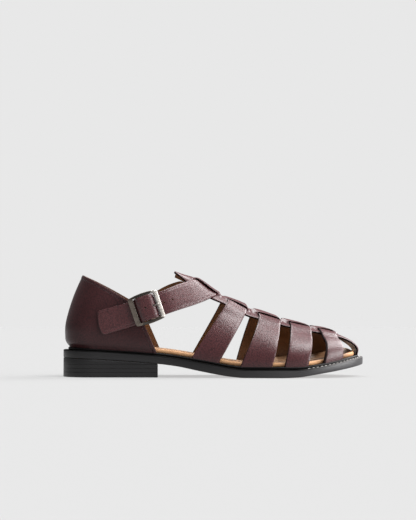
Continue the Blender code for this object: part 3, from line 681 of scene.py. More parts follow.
def pebbled_leather(name, grain, shade=1.0, sheen=0.5):
    """Burgundy leather with a pebbled grain, grain mm deep, and a broad satin sheen."""
    light, middle, dark = (shaded(colour, shade) for colour in BURGUNDIES)
    m = Shading(name)
    pebbles, fine, broad = m.cells(1.2), m.noise(0.45, 4.0), m.noise(22, 2.0)
    base = m.mix(m.ramp(broad, 0.3, 0.7), middle, light)
    colour = m.mix(m.ramp(pebbles, 0.35, 0.75), base, dark)
    roughness = m.ramp(m.sum(broad, fine, 0.6), 0.4, 1.2, 0.3, 0.4)
    height = m.sum(m.ramp(pebbles, 0.15, 0.8, 1.0, 0.0), fine, 0.25)
    return m.finished(colour, roughness, height, grain, Specular_IOR_Level=sheen)


def painted_edge():
    """The dark sealed cut edge of the straps."""
    m = Shading("dark_edge")
    streaks = m.noise(1.6)
    colour = m.mix(m.ramp(streaks, 0.35, 0.7), (0.007, 0.0035, 0.0035), (0.016, 0.007, 0.0065))
    return m.finished(colour, m.ramp(streaks, 0.3, 0.7, 0.5, 0.65), streaks, 0.05, Specular_IOR_Level=0.05)


def brown_lining():
    """Smooth brown leather inside the straps and the heel part, pale grey inside the toe."""
    m = Shading("brown_lining")
    grain, patches = m.noise(0.9, 4.0), m.noise(14)
    brown = m.mix(m.ramp(m.sum(patches, grain, 0.35), 0.4, 1.0), (0.105, 0.043, 0.013), (0.18, 0.08, 0.028))
    colour = m.mix(m.along("X", 281, 285), brown, (0.62, 0.57, 0.5))
    return m.finished(colour, m.ramp(grain, 0.3, 0.7, 0.55, 0.72), grain, 0.06)


def tan_leather(name, shade):
    """The insole's smooth natural leather, with painted shade: darker under the toe straps, where their
    shadow falls.
    """
    m = Shading(name)
    grain, patches = m.noise(0.6, 5.0), m.noise(30)
    base = m.mix(m.ramp(m.sum(patches, grain, 0.3), 0.45, 0.95), *(shaded(tan, shade) for tan in TANS))
    # painted shade: the insole's top is darker from just inside its outer edge, between x 208 and 287,
    # where the toe straps shade it
    painted_light = m.times(m.along("Y", -37, -29), m.along("X", 208, 226), m.along("X", 287, 276))
    colour = m.mix(painted_light, base, (0.15, 0.07, 0.028))
    return m.finished(colour, m.ramp(grain, 0.3, 0.7, 0.5, 0.65), grain, 0.05)


def sole_black(name, rough, shade, sheen, painted_light=None, toe_light_span=(228, 272)):
    """Sole leather with faint streaks; the colour given after sheen is painted light: the sole is painted
    lighter towards the toe, where the toe-side light falls, reaching that colour between the two x given
    last.
    """
    m = Shading(name)
    m.place = m.node("Mapping", {"Scale": (0.12, 0.12, 1.6), "Vector": m.spot}).outputs["Vector"]
    streaks, patches = m.noise(1.2, 4.0), m.noise(9)
    colour = m.mix(m.ramp(m.sum(streaks, patches, 0.5), 0.4, 1.1), shade, shaded(shade, 1.9))
    if painted_light is not None:
        # painted light: lighter towards the toe
        colour = m.mix(m.along("X", *toe_light_span), colour, painted_light)
    return m.finished(colour, m.ramp(patches, 0.3, 0.7, *rough), streaks, 0.03, Specular_IOR_Level=sheen)


def cast_metal(name, pitted, polished):
    """Cast buckle metal: soft polish on the faces, darker in the pits."""
    m = Shading(name)
    pits, patches = m.noise(0.8, 4.0), m.noise(5)
    colour = m.mix(m.ramp(m.sum(pits, patches, 0.7), 0.55, 0.95), pitted, polished)
    return m.finished(colour, m.ramp(pits, 0.3, 0.75, 0.3, 0.42), pits, 0.01, Metallic=1.0)


def sewing_thread(name, colour):
    m = Shading(name)
    twist = m.noise(0.35, 2.0)
    return m.finished(m.mix(m.ramp(twist, 0.35, 0.65), shaded(colour, 0.6), colour), 0.7, twist, 0.08)


FLOOR_GLOW = 0.5          # the floor is a lit table: most of its brightness is its own
FLOOR_SHADE = 0.0993      # the rest is light that it reflects, so that shadows stay faint


def studio_floor():
    m = Shading("studio_floor")
    plain = (FLOOR_SHADE,) * 3
    m.set(Base_Color=m.mix(m.noise(40, 2.0), plain, shaded(plain, 1.01)), Roughness=1.0,
          Specular_IOR_Level=0.0, Emission_Color=(1.0, 1.0, 1.0), Emission_Strength=FLOOR_GLOW)
    return m.material


BURGUNDY = pebbled_leather("pebbled_leather", 0.1)
SMOOTHER = pebbled_leather("smoother_leather", 0.035)
HEEL_LEATHER = pebbled_leather("heel_leather", 0.035, 0.55, 0.32)
EDGE = painted_edge()
LINING = brown_lining()
# painted light: these are shaded and lit copies of one leather, the lighter one on the insole's side face
# standing in for light, the darker one on its top for shade
TAN = tan_leather("tan_leather", 0.72)
TAN_EDGE_PAINTED_LIT = tan_leather("tan_edge_painted_lit", 1.3)
# painted light: the sole's edge, its rim and its ledge are painted lighter towards the toe, standing in for
# the light from the toe's side
BLACK = sole_black("black_sole", (0.36, 0.48), (0.006, 0.0055, 0.006), 0.42,
                   (0.034, 0.032, 0.034), (140, 215))
BLACK_RIM = sole_black("black_rim", (0.4, 0.5), (0.004, 0.0036, 0.0036), 0.1, (0.03, 0.028, 0.028))
LEDGE_BLACK = sole_black("black_ledge", (0.6, 0.7), (0.003, 0.003, 0.003), 0.03, (0.09, 0.085, 0.085))
SOLE_LEATHER = sole_black("sole_leather", (0.6, 0.75), (0.22, 0.115, 0.055), 0.2)
SILVER = cast_metal("antique_silver", (0.2, 0.185, 0.165), (0.4, 0.375, 0.35))
DULL_SILVER = cast_metal("dull_silver", (0.12, 0.1, 0.085), (0.2, 0.17, 0.145))
BLACKENED = cast_metal("blackened_silver", (0.05, 0.042, 0.036), (0.1, 0.088, 0.078))
DARK_THREAD = sewing_thread("dark_thread", (0.07, 0.025, 0.028))
GREY_THREAD = sewing_thread("grey_thread", (0.42, 0.4, 0.38))
STRAP_LEATHER = [BURGUNDY, EDGE, LINING]


# ---------------------------------------------------------------- sole

def sole_layer(node, layers, materials, slot, end=SHOE_LENGTH, count=90, strips=None):
    """The look of a sole node: layers (inset, height function of x and y), from below to above.

    Strips across the shoe close the first and the last. strips gives the material number of each
    strip between layers; the underside takes the first one's.
    """
    rings = []
    for inset, height in layers:
        ring, pairs = sole_ring(inset, end, count)
        rings.append(np.column_stack((ring, height(*ring.T))))
    points, faces = rings_mesh(rings, capped=False)
    size = len(rings[0])
    strips = strips or [0] * (len(rings) - 1)
    numbers = [number for number in strips for _ in range(size)]
    for first, up in ((0, False), ((len(rings) - 1) * size, True)):
        for i in range(pairs - 1):
            near, far = (size - i) % size, size - i - 1
            cap = list(dict.fromkeys((first + i, first + i + 1, first + far, first + near)))
            faces.append(tuple(cap if up else cap[::-1]))
            numbers.append(strips[-1] if up else strips[0])
    return new_piece(f"{node}_look", points, faces, materials, slot, (node,), numbers)


def above(surface, layers):
    """Layers (inset, rise above a surface of the sole) as (inset, height function)."""
    return [(inset, lambda x, y, rise=rise: surface(x) + rise) for inset, rise in layers]


STITCHED_FROM = 238       # x from which the outsole's stitches show
STITCH_INSET = 2.7


def outsole():
    """A black edge rounded below and above, a ledge with a groove, and bare leather underneath."""
    layers = above(underside, ((2.2, 0.0), (0.9, 0.1), (0.25, 0.45), (0.0, 1.1)))
    layers += above(sole_top, ((0.0, -1.0), (0.22, -0.35), (0.8, 0.0), (1.5, 0.0), (3.9, -0.05),
                               (4.2, -0.3), (5.4, -0.3), (5.8, 0.0)))
    strips = [2, 0, 0, 0] + [1] * (len(layers) - 5)
    sole_layer("outsole", layers, [BLACK, LEDGE_BLACK, SOLE_LEATHER], "sole", strips=strips)
    ring = sole_ring(STITCH_INSET)[0]
    line = np.column_stack((ring, sole_top(ring[:, 0])))[ring[:, 0] > STITCHED_FROM]
    stitch_row("sole_stitches", line, np.tile((0.0, 0.0, 1.0), (len(line), 1)), 4.5, 0.55, 0.4, GREY_THREAD)


LIFTS = (4.8, 8.6, 12.4)


def heel():
    """Stacked lifts: a thicker top piece below, then even ones, with fine grooves between."""
    steps = [(0.5, 0), (0.15, 0.12), (0, 0.4)]
    for low in LIFTS:
        steps += [(0, low), (0.35, low + 0.08), (0.35, low + 0.24), (0, low + 0.32)]
    layers = above(np.zeros_like, [(HEEL_INSET + inset, z) for inset, z in steps])
    layers += above(underside, ((HEEL_INSET, -0.45), (HEEL_INSET + 0.3, -0.12), (HEEL_INSET + 0.6, 0.0)))
    piece = sole_layer("heel", layers, [BLACK], "sole", HEEL_LENGTH, count=40)
    round_edges(piece, 0.3, 2, 60).harden_normals = True


def midsole():
    """The rounded rim between sole and upper."""
    half = MIDSOLE_THICK / 2 + 0.15
    layers = [(LEDGE + 1 - math.cos(turn), GAP + half - 0.3 + half * math.sin(turn))
              for turn in np.radians(np.linspace(-80, 80, 9))]
    sole_layer("midsole", above(sole_top, layers), [BLACK_RIM], "rim")


CUP_HIGH, CUP_WIDE, CUP_FROM = 4.2, 13.0, 1.8    # height, breadth, and the margin where it is full
CUP_REAR, CUP_FRONT = 195, 293    # x at its ends
DISH_DEEP, DISH_WIDE = 1.0, 16.0


def foot_bed(x, y, reach, rise):
    """Height of the insole's face, reach mm inside its edge."""
    cup = CUP_HIGH * smooth((x - CUP_REAR) / 25) * smooth((CUP_FRONT - x) / 12) * smooth(y / 20)
    return insole_base(x) + INSOLE_THICK + rise + cup * smooth(1 - max(reach - CUP_FROM, 0) / CUP_WIDE)


def insole():
    """A soft upper edge and a shallow dish; on the inner side of the toes it is cupped."""
    dish = [(0.0, -1.1), (0.25, -0.45), (0.8, 0.0), (1.8, 0.1)]
    dish += [(reach, 0.1 - DISH_DEEP * smooth(reach / DISH_WIDE)) for reach in (4, 7, 10, 13)]
    layers = above(insole_base, [(INSOLE_INSET, 0.0)])
    layers += [(INSOLE_INSET + spot[0], lambda x, y, spot=spot: foot_bed(x, y, *spot)) for spot in dish]
    # painted light: the side strips take the lighter copy of the leather, the top strips the darker copy
    sole_layer("insole", layers, [TAN, TAN_EDGE_PAINTED_LIT], "insole", strips=[1, 1] + [0] * (len(layers) - 3))


# ---------------------------------------------------------------- woven upper

EDGE_STEPS = (0.0, 0.7, 1.3, 1.9, 2.6, 3.6)
BLACK_CELLS = (0, 1, 1, 2)    # steps of each strap's rear margin that the edge paint covers
CLIMB_ROW = 0.6           # where a strap begins to rise towards the band
WIDTH_ROW = -0.75         # where its width is measured


def edge_drop(distance):
    """The straps' faces fall away a little towards their cut edges."""
    return -0.45 * np.clip(1 - distance / 2.6, 0, 1) ** 2


def strap_level(row):
    """A strap's height above the last: up over the band's margin, then down through the slit."""
    away = np.abs(row)
    climb = smooth((CLIMB_ROW - away) / (CLIMB_ROW - BAND_ROW))
    dive = smooth((away - SLIT_ROW + SLIT_HALF) / (2 * SLIT_HALF))
    return STRAP_OVER * climb * dive + STRAP_UNDER * (1 - dive)


def cross_strap(number):
    rear, front = STRAP_EDGES[number]
    side_rows = np.linspace(-1, -CLIMB_ROW, 46)[:-1]
    rows = np.concatenate((side_rows, np.linspace(-CLIMB_ROW, CLIMB_ROW, 89), -side_rows[::-1]))
    rear_point, front_point = (last.point(edge(np.array([WIDTH_ROW])), WIDTH_ROW) for edge in (rear, front))
    width = float(np.linalg.norm(rear_point - front_point))
    distance, row = np.meshgrid(edge_spaced(width, EDGE_STEPS, 1.2), rows, indexing="ij")
    share = distance / width
    u = (1 - share) * rear(row) + share * front(row)
    outward = last.normal(u, row)
    rise = strap_level(row) + edge_drop(np.minimum(distance, width - distance))
    outside = last.point(u, row) + rise[..., None] * outward
    inside = outside - LEATHER * outward
    for grid in (outside, inside):
        grid[:, (0, -1), 2] -= TUCK
    kept = np.ones((distance.shape[0] - 1, len(rows) - 1), bool)
    painted = ~kept
    painted[:BLACK_CELLS[number]] = True
    name = f"cross_strap_{number + 1}"
    round_edges(wall(name, outside, inside, kept, STRAP_LEATHER, painted=painted, bare=True), 0.4)


NEAR_U, NEAR_ROW = 6, 0.8    # the part of the last that find_on_last knows


def find_on_last(points):
    """Section number, row and height above the last of points near the band."""
    spread = np.linspace(0, NEAR_U, 181), np.linspace(-NEAR_ROW, NEAR_ROW, 129)
    us, rows = (grid.ravel() for grid in np.meshgrid(*spread, indexing="ij"))
    samples, flat = last.point(us, rows), points.reshape(-1, 3)
    nearest = np.array([np.argmin(((samples - p) ** 2).sum(1)) for p in flat])
    u, row = us[nearest], rows[nearest]
    for _ in range(4):
        base = last.point(u, row)
        along = (last.point(u + 0.01, row) - base) / 0.01
        across = (last.point(u, row + 0.01) - base) / 0.01
        off = flat - base
        aa, ab, bb = (along * along).sum(1), (along * across).sum(1), (across * across).sum(1)
        oa, ob = (off * along).sum(1), (off * across).sum(1)
        area = np.maximum(aa * bb - ab * ab, 1e-9)
        u = np.clip(u + (oa * bb - ob * ab) / area, 0, NEAR_U)
        row = np.clip(row + (ob * aa - oa * ab) / area, -NEAR_ROW, NEAR_ROW)
    height = ((flat - last.point(u, row)) * last.normal(u, row)).sum(1)
    return (values.reshape(points.shape[:-1]) for values in (u, row, height))


def ankle_edge_on_band(across, rows):
    """Where an edge of the ankle strap crosses the band: the section number on each row."""
    u, row, _ = find_on_last(ankle_base(np.linspace(5.5, 8.6, 60), across))
    order = np.argsort(row)
    return np.interp(rows, row[order], u[order])


# The band's middle over each strap it crosses: height above the last at the strap's rear and
# front edge, how flat it lies across (0 follows the last, 1 is straight), and the lift of its outer edge
CROSSINGS = (
    (2.7, 2.6, 1.0, 0.8),      # ankle strap
    (1.5, 3.2, 0.2, 0.4),
    (2.3, 2.8, 0.8, 0.4),
    (2.5, 2.2, 0.2, 0.4),
    (1.9, 2.8, 0.5, 0.2),
)
CROSSING_BOW = 0.35
GAP_FLAT = 0.5            # how flat the band lies between the straps
RAMP = 5.0                # length over which the band rises to a strap
BAND_CELL, TOE_LONG = 0.9, 50.0


def band_run(number, part, long, at_toe):
    """The band's height, flatness and lift at a part of one of its stretches, which is long mm."""
    before, after = CROSSINGS[number // 2 - 1], CROSSINGS[min(number // 2, 4)]
    if number % 2 == 1:
        rear, front, flat, lift = after
        bow = math.sin(math.pi * part)
        return rear + (front - rear) * part + CROSSING_BOW * bow, flat, lift * bow ** 0.5
    near = smooth(1 - part * long / RAMP) if number > 0 else 0.0
    far = 0.0 if at_toe else smooth(1 - (1 - part) * long / RAMP)
    base = 0.0 if number == 0 or at_toe else GAP_FLAT
    flat = base + near * (before[2] - base) + far * (after[2] - base)
    return max(near * before[1], far * after[0]), flat, 0.0


def centre_band():
    """The band over the instep: slit along both sides of each strap that it holds down."""
    rows = mirrored(np.concatenate((np.array(EDGE_STEPS) / (2 * BAND_HALF) - BAND_ROW,
                                    np.linspace(-0.32, -SLIT_ROW - SLIT_HALF, 4),
                                    np.linspace(-SLIT_ROW + SLIT_HALF, 0, 8))))
    middle = len(rows) // 2
    lines = [np.full(len(rows), last.u_at(BAND_REAR, 0.0))]
    lines += [ankle_edge_on_band(across, rows) for across in (0.0, 1.0)]
    lines += [edge(rows) for edges in STRAP_EDGES for edge in edges]
    lines.append(np.full(len(rows), last.end))
    grid_u, runs, slit = [], [], []
    for number, (start, stop) in enumerate(zip(lines[:-1], lines[1:])):
        long = float(np.linalg.norm(last.point(stop[middle], 0.0) - last.point(start[middle], 0.0)))
        at_toe = number == len(lines) - 2
        cells = max(6, int(round((TOE_LONG if at_toe else long) / BAND_CELL)))
        for part in np.arange(cells) / cells:
            grid_u.append((1 - part) * start + part * stop)
            runs.append(band_run(number, part, long, at_toe))
            slit.append(number % 2 == 1)
    u, row = np.array(grid_u + [lines[-1]]), np.broadcast_to(rows, (len(grid_u) + 1, len(rows)))
    rise, flat, lift = np.array(runs + [(0.0, 0.0, 0.0)]).T[..., None]
    outward, on_last = last.normal(u, row), last.point(u, row)
    ridge = last.point(u[:, middle], 0.0)
    free = smooth(1 - (ridge[:, 0] - BAND_REAR) / END_LEVEL)[:, None]
    level_off = free * (row < 0)
    on_last[..., 2] += level_off * (ridge[:, None, 2] - on_last[..., 2])
    on_last[..., 2] -= free * END_DROP * np.clip(row / BAND_ROW, 0, 1)
    outward += level_off[..., None] * (outward[:, middle:middle + 1] - outward)
    middle_part = smooth((SLIT_ROW + SLIT_HALF - np.abs(row)) / (2 * SLIT_HALF))
    tall = rise * middle_part + edge_drop((BAND_ROW - np.abs(row)) * 2 * BAND_HALF)
    outside = on_last + tall[..., None] * outward
    inner = np.flatnonzero(np.abs(rows) <= SLIT_ROW - SLIT_HALF + 1e-6)
    first, final = inner[0], inner[-1]
    share = ((rows[inner] - rows[first]) / (rows[final] - rows[first]))[None, :, None]
    straight = (1 - share) * outside[:, first, None] + share * outside[:, final, None]
    outside[:, inner] += flat[..., None] * (straight - outside[:, inner])
    outside[:, inner] += lift[..., None] * (1 - share) * outward[:, inner]
    inside = outside - LEATHER * outward
    kept = np.ones((len(grid_u), len(rows) - 1), bool)
    centres = np.abs((rows[:-1] + rows[1:]) / 2)
    kept[np.ix_(np.array(slit), np.abs(centres - SLIT_ROW) < SLIT_HALF)] = False
    for grid in (outside, inside):
        grid[-1, :, 2] -= TUCK
    round_edges(wall("centre_band", outside, inside, kept, [SMOOTHER, EDGE, LINING]), 0.4)


CREASE_AT, CREASE_WIDE, CREASE_DEEP = 2.3, 0.5, 0.3
TAIL_BOW, TAIL_LONG = 2.6, 12.0    # the tail's rounded end
TAIL_CORNER = 2.6


def crease(distance):
    """A line pressed into the leather, parallel to the edge."""
    return -CREASE_DEEP * np.exp(-((distance - CREASE_AT) / CREASE_WIDE) ** 2)


def punch(stations, shares, centre, radii, kept):
    """Opens an oval hole in the middle of a grid: drops its cells and moves its rim onto the oval."""
    along = (stations - centre) * STATION_LONG / radii[0]
    across = (shares - 0.5) * ANKLE_WIDE / radii[1]
    inside = sum(((grid[:-1, :-1] + grid[1:, 1:]) / 2) ** 2 for grid in (along, across)) < 1
    kept[inside] = False
    touched = np.zeros(stations.shape, bool)
    for i, j in np.argwhere(inside):
        touched[i:i + 2, j:j + 2] = True
    for i, j in np.argwhere(touched):
        if not inside[max(i - 1, 0):i + 1, max(j - 1, 0):j + 1].all():
            angle = math.atan2(across[i, j], along[i, j])
            stations[i, j] = centre + radii[0] * math.cos(angle) / STATION_LONG
            shares[i, j] = 0.5 + radii[1] * math.sin(angle) / ANKLE_WIDE


# The ankle strap's height above the last by row: over the band's margin, under its middle
ANKLE_ROWS = (0.0, 0.19, 0.27, 0.5, 0.6, 0.85)
ANKLE_LOWEST = (1.2, 1.2, 1.9, 1.9, -9.0, -9.0)
ANKLE_HIGHEST = (1.2, 1.2, 2.6, 5.0, 7.0, 14.0)
BAND_FROM, BAND_TO = 5.2, 9.4     # stations between which the band leads the ankle strap
ANKLE_FINE = 400          # points of the strap's middle line


def ankle_strap():
    """From its tail on the heel part, through the buckle and the band, to the inner side."""
    fine_stations = np.linspace(0, len(ANKLE_STRAP) - 1, ANKLE_FINE)
    run = arc_lengths(ankle_base(fine_stations, 0.5))
    spaced = np.concatenate(([0, 0.12, 0.4, 0.8, 1.3, 1.9], np.arange(2.6, run[-1] - 0.3, 0.62), [run[-1]]))
    rows = np.interp(spaced, run, fine_stations)
    across = edge_spaced(ANKLE_WIDE, (0.0, 0.7, 1.3, 1.8, 2.3, 2.8, 3.6), 0.62) / ANKLE_WIDE
    stations, shares = (grid.copy() for grid in np.meshgrid(rows, across, indexing="ij"))
    kept = np.ones((len(rows) - 1, len(across) - 1), bool)
    for number in (-1, 0, 1, 2):
        spot = BUCKLE_STATION + (PRONG_AT + number * HOLE_PITCH) / STATION_LONG
        punch(stations, shares, spot, PRONG_SLOT if number == 0 else HOLE, kept)
    from_end = np.interp(stations, fine_stations, run)
    short = np.clip(TAIL_CORNER - from_end, 0, TAIL_CORNER)
    inset = (TAIL_CORNER - np.sqrt(TAIL_CORNER ** 2 - short ** 2)) / ANKLE_WIDE
    shares = inset + shares * (1 - 2 * inset)
    bow = TAIL_BOW * (1 - (2 * shares - 1) ** 2) * smooth(1 - from_end / TAIL_LONG)
    base = ankle_base(stations - bow / STATION_LONG, shares)
    away = np.clip(np.abs(stations - BUCKLE_STATION) * STATION_LONG / HUMP_HALF, 0, 1)
    outside = base - (HUMP * (1 - away ** HUMP_POWER))[..., None] * grid_normals(base)
    near = (stations > BAND_FROM) & (stations < BAND_TO)
    u, row, height = find_on_last(outside[near])
    lowest, highest = (np.interp(np.abs(row), ANKLE_ROWS, limit) for limit in (ANKLE_LOWEST, ANKLE_HIGHEST))
    pull = smooth((stations[near] - BAND_FROM) / 0.6) * smooth((BAND_TO - stations[near]) / 1.1)
    outside[near] += (pull * (np.clip(height, lowest, highest) - height))[:, None] * last.normal(u, row)
    for _ in range(3):
        outside[2:-2, 1:-1] = (outside[1:-3, 1:-1] + 2 * outside[2:-2, 1:-1] + outside[3:-1, 1:-1]) / 4
    outward = -grid_normals(outside)
    to_slit = np.full(stations.shape, 99.0)
    to_slit[near] = np.maximum((np.abs(row) - SLIT_ROW - SLIT_HALF) * 2 * BAND_HALF, 0)
    to_side = np.minimum(shares, 1 - shares) * ANKLE_WIDE
    to_end = np.minimum(from_end, run[-1] - from_end)
    nearest = np.minimum(np.minimum(to_side, to_slit), to_end)
    rise = edge_drop(np.minimum(to_side, from_end + 0.4)) + crease(nearest)
    inside = outside - LEATHER * outward
    outside = outside + rise[..., None] * outward
    grids = (grid[:, ::-1] for grid in (outside, inside, kept))
    round_edges(wall("ankle_strap", *grids, [BURGUNDY, SMOOTHER, LINING], ("straps",)), 0.35)


# ---------------------------------------------------------------- heel part

SEAM_AT = 3.4             # stitch line inside the topline and the front edges
FOLD_HIGH, FOLD_WIDE = 0.35, 0.5
SEAM_STITCHES = (2.3, 0.72, 0.24, DARK_THREAD)    # pitch, a stitch's share of it, radius, material


def bump_line(distance, width):
    """1 on a line, falling away on both sides of it."""
    return np.exp(-(distance / width) ** 2)


def quarter():
    """The heel part with its turned edge, stitch line and a seam down the back."""
    along = mirrored(-np.linspace(1, 0, 116))
    up = np.concatenate((np.linspace(0, 0.93, 70)[:-1], np.linspace(0.93, 1, 16)))
    around, level_share = np.meshgrid(along, up, indexing="ij")
    outside = quarter_point(around, level_share)
    outward = -grid_normals(outside)
    tall = np.linalg.norm(np.diff(outside, axis=1), axis=2).sum(1)
    to_top = (1 - level_share) * tall[:, None]
    runs = np.stack([arc_lengths(outside[:, j]) for j in range(len(up))], 1)
    to_front = np.minimum(runs, runs[-1] - runs)
    to_edge = np.minimum(to_top, to_front)
    to_back = np.abs(runs - runs[len(along) // 2])
    folded = smooth((SEAM_AT - to_edge) / 1.2 + 0.5) - bump_line(to_edge - SEAM_AT, FOLD_WIDE)
    rise = FOLD_HIGH * (folded - np.clip(1 - to_edge / 2.2, 0, 1) ** 2)
    rise += 0.12 * bump_line(to_back - 1.2, 0.7) - 0.45 * bump_line(to_back, 0.45)
    inside = outside - QUARTER_WALL * outward
    outside = outside + rise[..., None] * outward
    for grid in (outside, inside):
        grid[:, 0, 2] -= TUCK
    kept = np.ones((len(along) - 1, len(up) - 1), bool)
    grids = (grid[:, ::-1] for grid in (outside, inside, kept))
    round_edges(wall("quarter_look", *grids, [HEEL_LEATHER, HEEL_LEATHER, LINING], ("quarter",)), 0.8, 4)

    def sewn(name, spots):
        """Stitches through spots: where to read, along which distances, and which cells of the grids."""
        line, ups = (np.array([read_line(at, distances, grid[cells]) for at, distances, cells in spots])
                     for grid in (outside, outward))
        stitch_row(name, line, ups, *SEAM_STITCHES)

    sewn("topline_stitches", [(1 - SEAM_AT / tall[i], up, i) for i in range(len(along))
                              if to_front[i, -20] >= SEAM_AT])
    for name, end, order in (("outer", 0, 1), ("inner", -1, -1)):
        sewn(f"front_stitches_{name}", [(SEAM_AT, np.abs(runs[::order, j] - runs[end, j]),
                                         (slice(None, None, order), j))
                                        for j in range(2, len(up)) if to_top[end, j] >= SEAM_AT])


# ---------------------------------------------------------------- buckle

def buckle_frame_axes():
    """Middle of the buckle frame, and its directions along the strap, across it and outwards."""
    reach = 0.5 * FRAME_LONG / STATION_LONG
    rear, front = (ankle_base(BUCKLE_STATION + side * reach, 0.5) for side in (-1, 1))
    upper, lower = (ankle_base(float(BUCKLE_STATION), side) for side in (0.0, 1.0))
    along = (front - rear) / np.linalg.norm(front - rear)
    outward = np.cross(along, upper - lower)
    outward *= -np.sign(outward[1]) / np.linalg.norm(outward)
    strap = ankle_base(BUCKLE_STATION + np.linspace(-reach, reach, 9), 0.5)
    height = max((strap - rear) @ outward)
    middle = (rear + front) / 2 + (height + GAP + FRAME_THICK / 2) * outward
    return middle, along, np.cross(outward, along), outward


BUCKLE_AXES = buckle_frame_axes()


def on_buckle(local):
    """Buckle coordinates (along, across, out) to table millimetres."""
    local = np.asarray(local, float)
    return BUCKLE_AXES[0] + sum(local[..., n:n + 1] * BUCKLE_AXES[n + 1] for n in range(3))


def rounded_rectangle(x0, x1, half, radius, corner_steps=9, side_steps=8):
    """Corner-rounded loop, anticlockwise, the same number of points for any size."""
    centres = ((x1 - radius, half - radius), (x0 + radius, half - radius),
               (x0 + radius, radius - half), (x1 - radius, radius - half))
    arcs = []
    for number, centre in enumerate(centres):
        turns = np.linspace(0, np.pi / 2, corner_steps) + number * np.pi / 2
        arcs.append(np.array(centre) + radius * np.stack((np.cos(turns), np.sin(turns)), 1))
    parts = np.linspace(0, 1, side_steps + 1)[1:-1, None]
    sides = [(1 - parts) * arc[-1] + parts * arcs[(number + 1) % 4][0] for number, arc in enumerate(arcs)]
    return np.concatenate([piece for pair in zip(arcs, sides) for piece in pair])


FRAME_ARCH = 0.9          # the frame's rails bow outwards by this much
RAIL_BOW = 1.5            # and their outer sides away from the strap's middle by this much
BAR_SLOPE = 0.33          # the two bars' faces fall away from the strap's hump
INNER_SIDE = -0.8         # cosine round the section beyond which the frame's inner side is blackened


def squared(value):
    """A cosine or sine round a circle turned into one round a nearly square section."""
    return np.sign(value) * abs(value) ** 0.45


def buckle_frame():
    """The frame, its section carried round the loop, and the pin between its rails."""
    outer = rounded_rectangle(-FRAME_LONG / 2, FRAME_LONG / 2, FRAME_WIDE / 2, FRAME_CORNER)
    inner = rounded_rectangle(-FRAME_LONG / 2 + REAR_BAR, FRAME_LONG / 2 - FRONT_BAR,
                              FRAME_WIDE / 2 - RAIL, FRAME_CORNER * 0.4)
    middle, half = (outer + inner) / 2, (outer - inner) / 2
    turns = np.linspace(0, 2 * np.pi, 28, endpoint=False) + np.pi / 28
    to_outside, face = squared(np.cos(turns)), squared(np.sin(turns))
    x, y = (centre[:, None] + reach[:, None] * to_outside for centre, reach in zip(middle.T, half.T))
    slope = BAR_SLOPE * (x - middle[:, :1]) * np.sign(middle[:, :1])
    bow = 1 - (x / (FRAME_LONG / 2)) ** 2
    out = FRAME_THICK / 2 * face - np.where(face > 0, slope, 0) + FRAME_ARCH * bow
    y = y + RAIL_BOW * bow * (0.5 + 0.5 * to_outside) * np.sign(y) * (2 * y / FRAME_WIDE) ** 2
    frame_mesh = rings_mesh(on_buckle(np.stack((x, y, out), 2)), loop=True)
    circle = np.linspace(0, 2 * np.pi, 24, endpoint=False)
    reach = FRAME_WIDE / 2 - RAIL / 2
    pin = rings_mesh(on_buckle([[(PIN_RADIUS * np.sin(a), side, -PIN_DROP + PIN_RADIUS * np.cos(a))
                                 for a in circle] for side in (-reach, reach)]))
    points, faces = joined((frame_mesh, pin))
    numbers = []
    for corners in frame_mesh[1]:
        x, y = middle[corners[0] // len(turns)]
        on_rail = abs(y) > FRAME_WIDE / 2 - RAIL and abs(x) < FRAME_LONG / 2 - REAR_BAR
        faces_in = np.cos(turns[corners[0] % len(turns)]) < INNER_SIDE
        numbers.append(2 if on_rail or faces_in else 1 if x < 0 else 0)
    numbers += [2] * len(pin[1])
    new_piece("buckle_frame_look", points, faces, [SILVER, DULL_SILVER, BLACKENED], "buckle",
              ("buckle_frame",), numbers)


def round_pin(radius, start, stop):
    """Points (along, out) round the pin, between two angles in degrees."""
    turns = np.radians(np.linspace(start, stop, 30))
    return [(radius * np.cos(turn), radius * np.sin(turn) - PIN_DROP) for turn in turns]


def directions(path):
    """Unit directions along a path."""
    along = np.gradient(path, axis=0)
    return along / np.linalg.norm(along, axis=1)[:, None]


# The prong's tip on the front bar: position along, height above the bar, radius
TIP = ((10.6, 0.1, 0.8), (11.6, 0.15, 1.0), (12.4, 0.1, 0.95), (12.9, 0.0, 0.65), (13.1, -0.1, 0.2))


def buckle_prong():
    """A ring round the pin and a tongue up through the strap, with a rounded tip on the front bar."""
    path = round_pin(PIN_RADIUS + GAP + PRONG_THICK / 2, 355, 105)
    rest = FRAME_THICK / 2 + PRONG_THICK / 2 + 0.1
    path += [(2.5, path[-1][1] - 0.1), *PRONG_RISE]
    thick = [PRONG_THICK / 2] * len(path) + [radius for x, rise, radius in TIP]
    path = np.array(path + [(x, rest + rise) for x, rise, radius in TIP])
    sides = np.linspace(0, 2 * np.pi, 16, endpoint=False)
    rings = [[(x - r * dz * np.cos(a), -r * np.sin(a), z + r * dx * np.cos(a)) for a in sides]
             for (x, z), (dx, dz), r in zip(path, directions(path), thick)]
    new_piece("buckle_prong_look", *rings_mesh(on_buckle(rings)), [SILVER], "buckle", ("buckle_prong",))


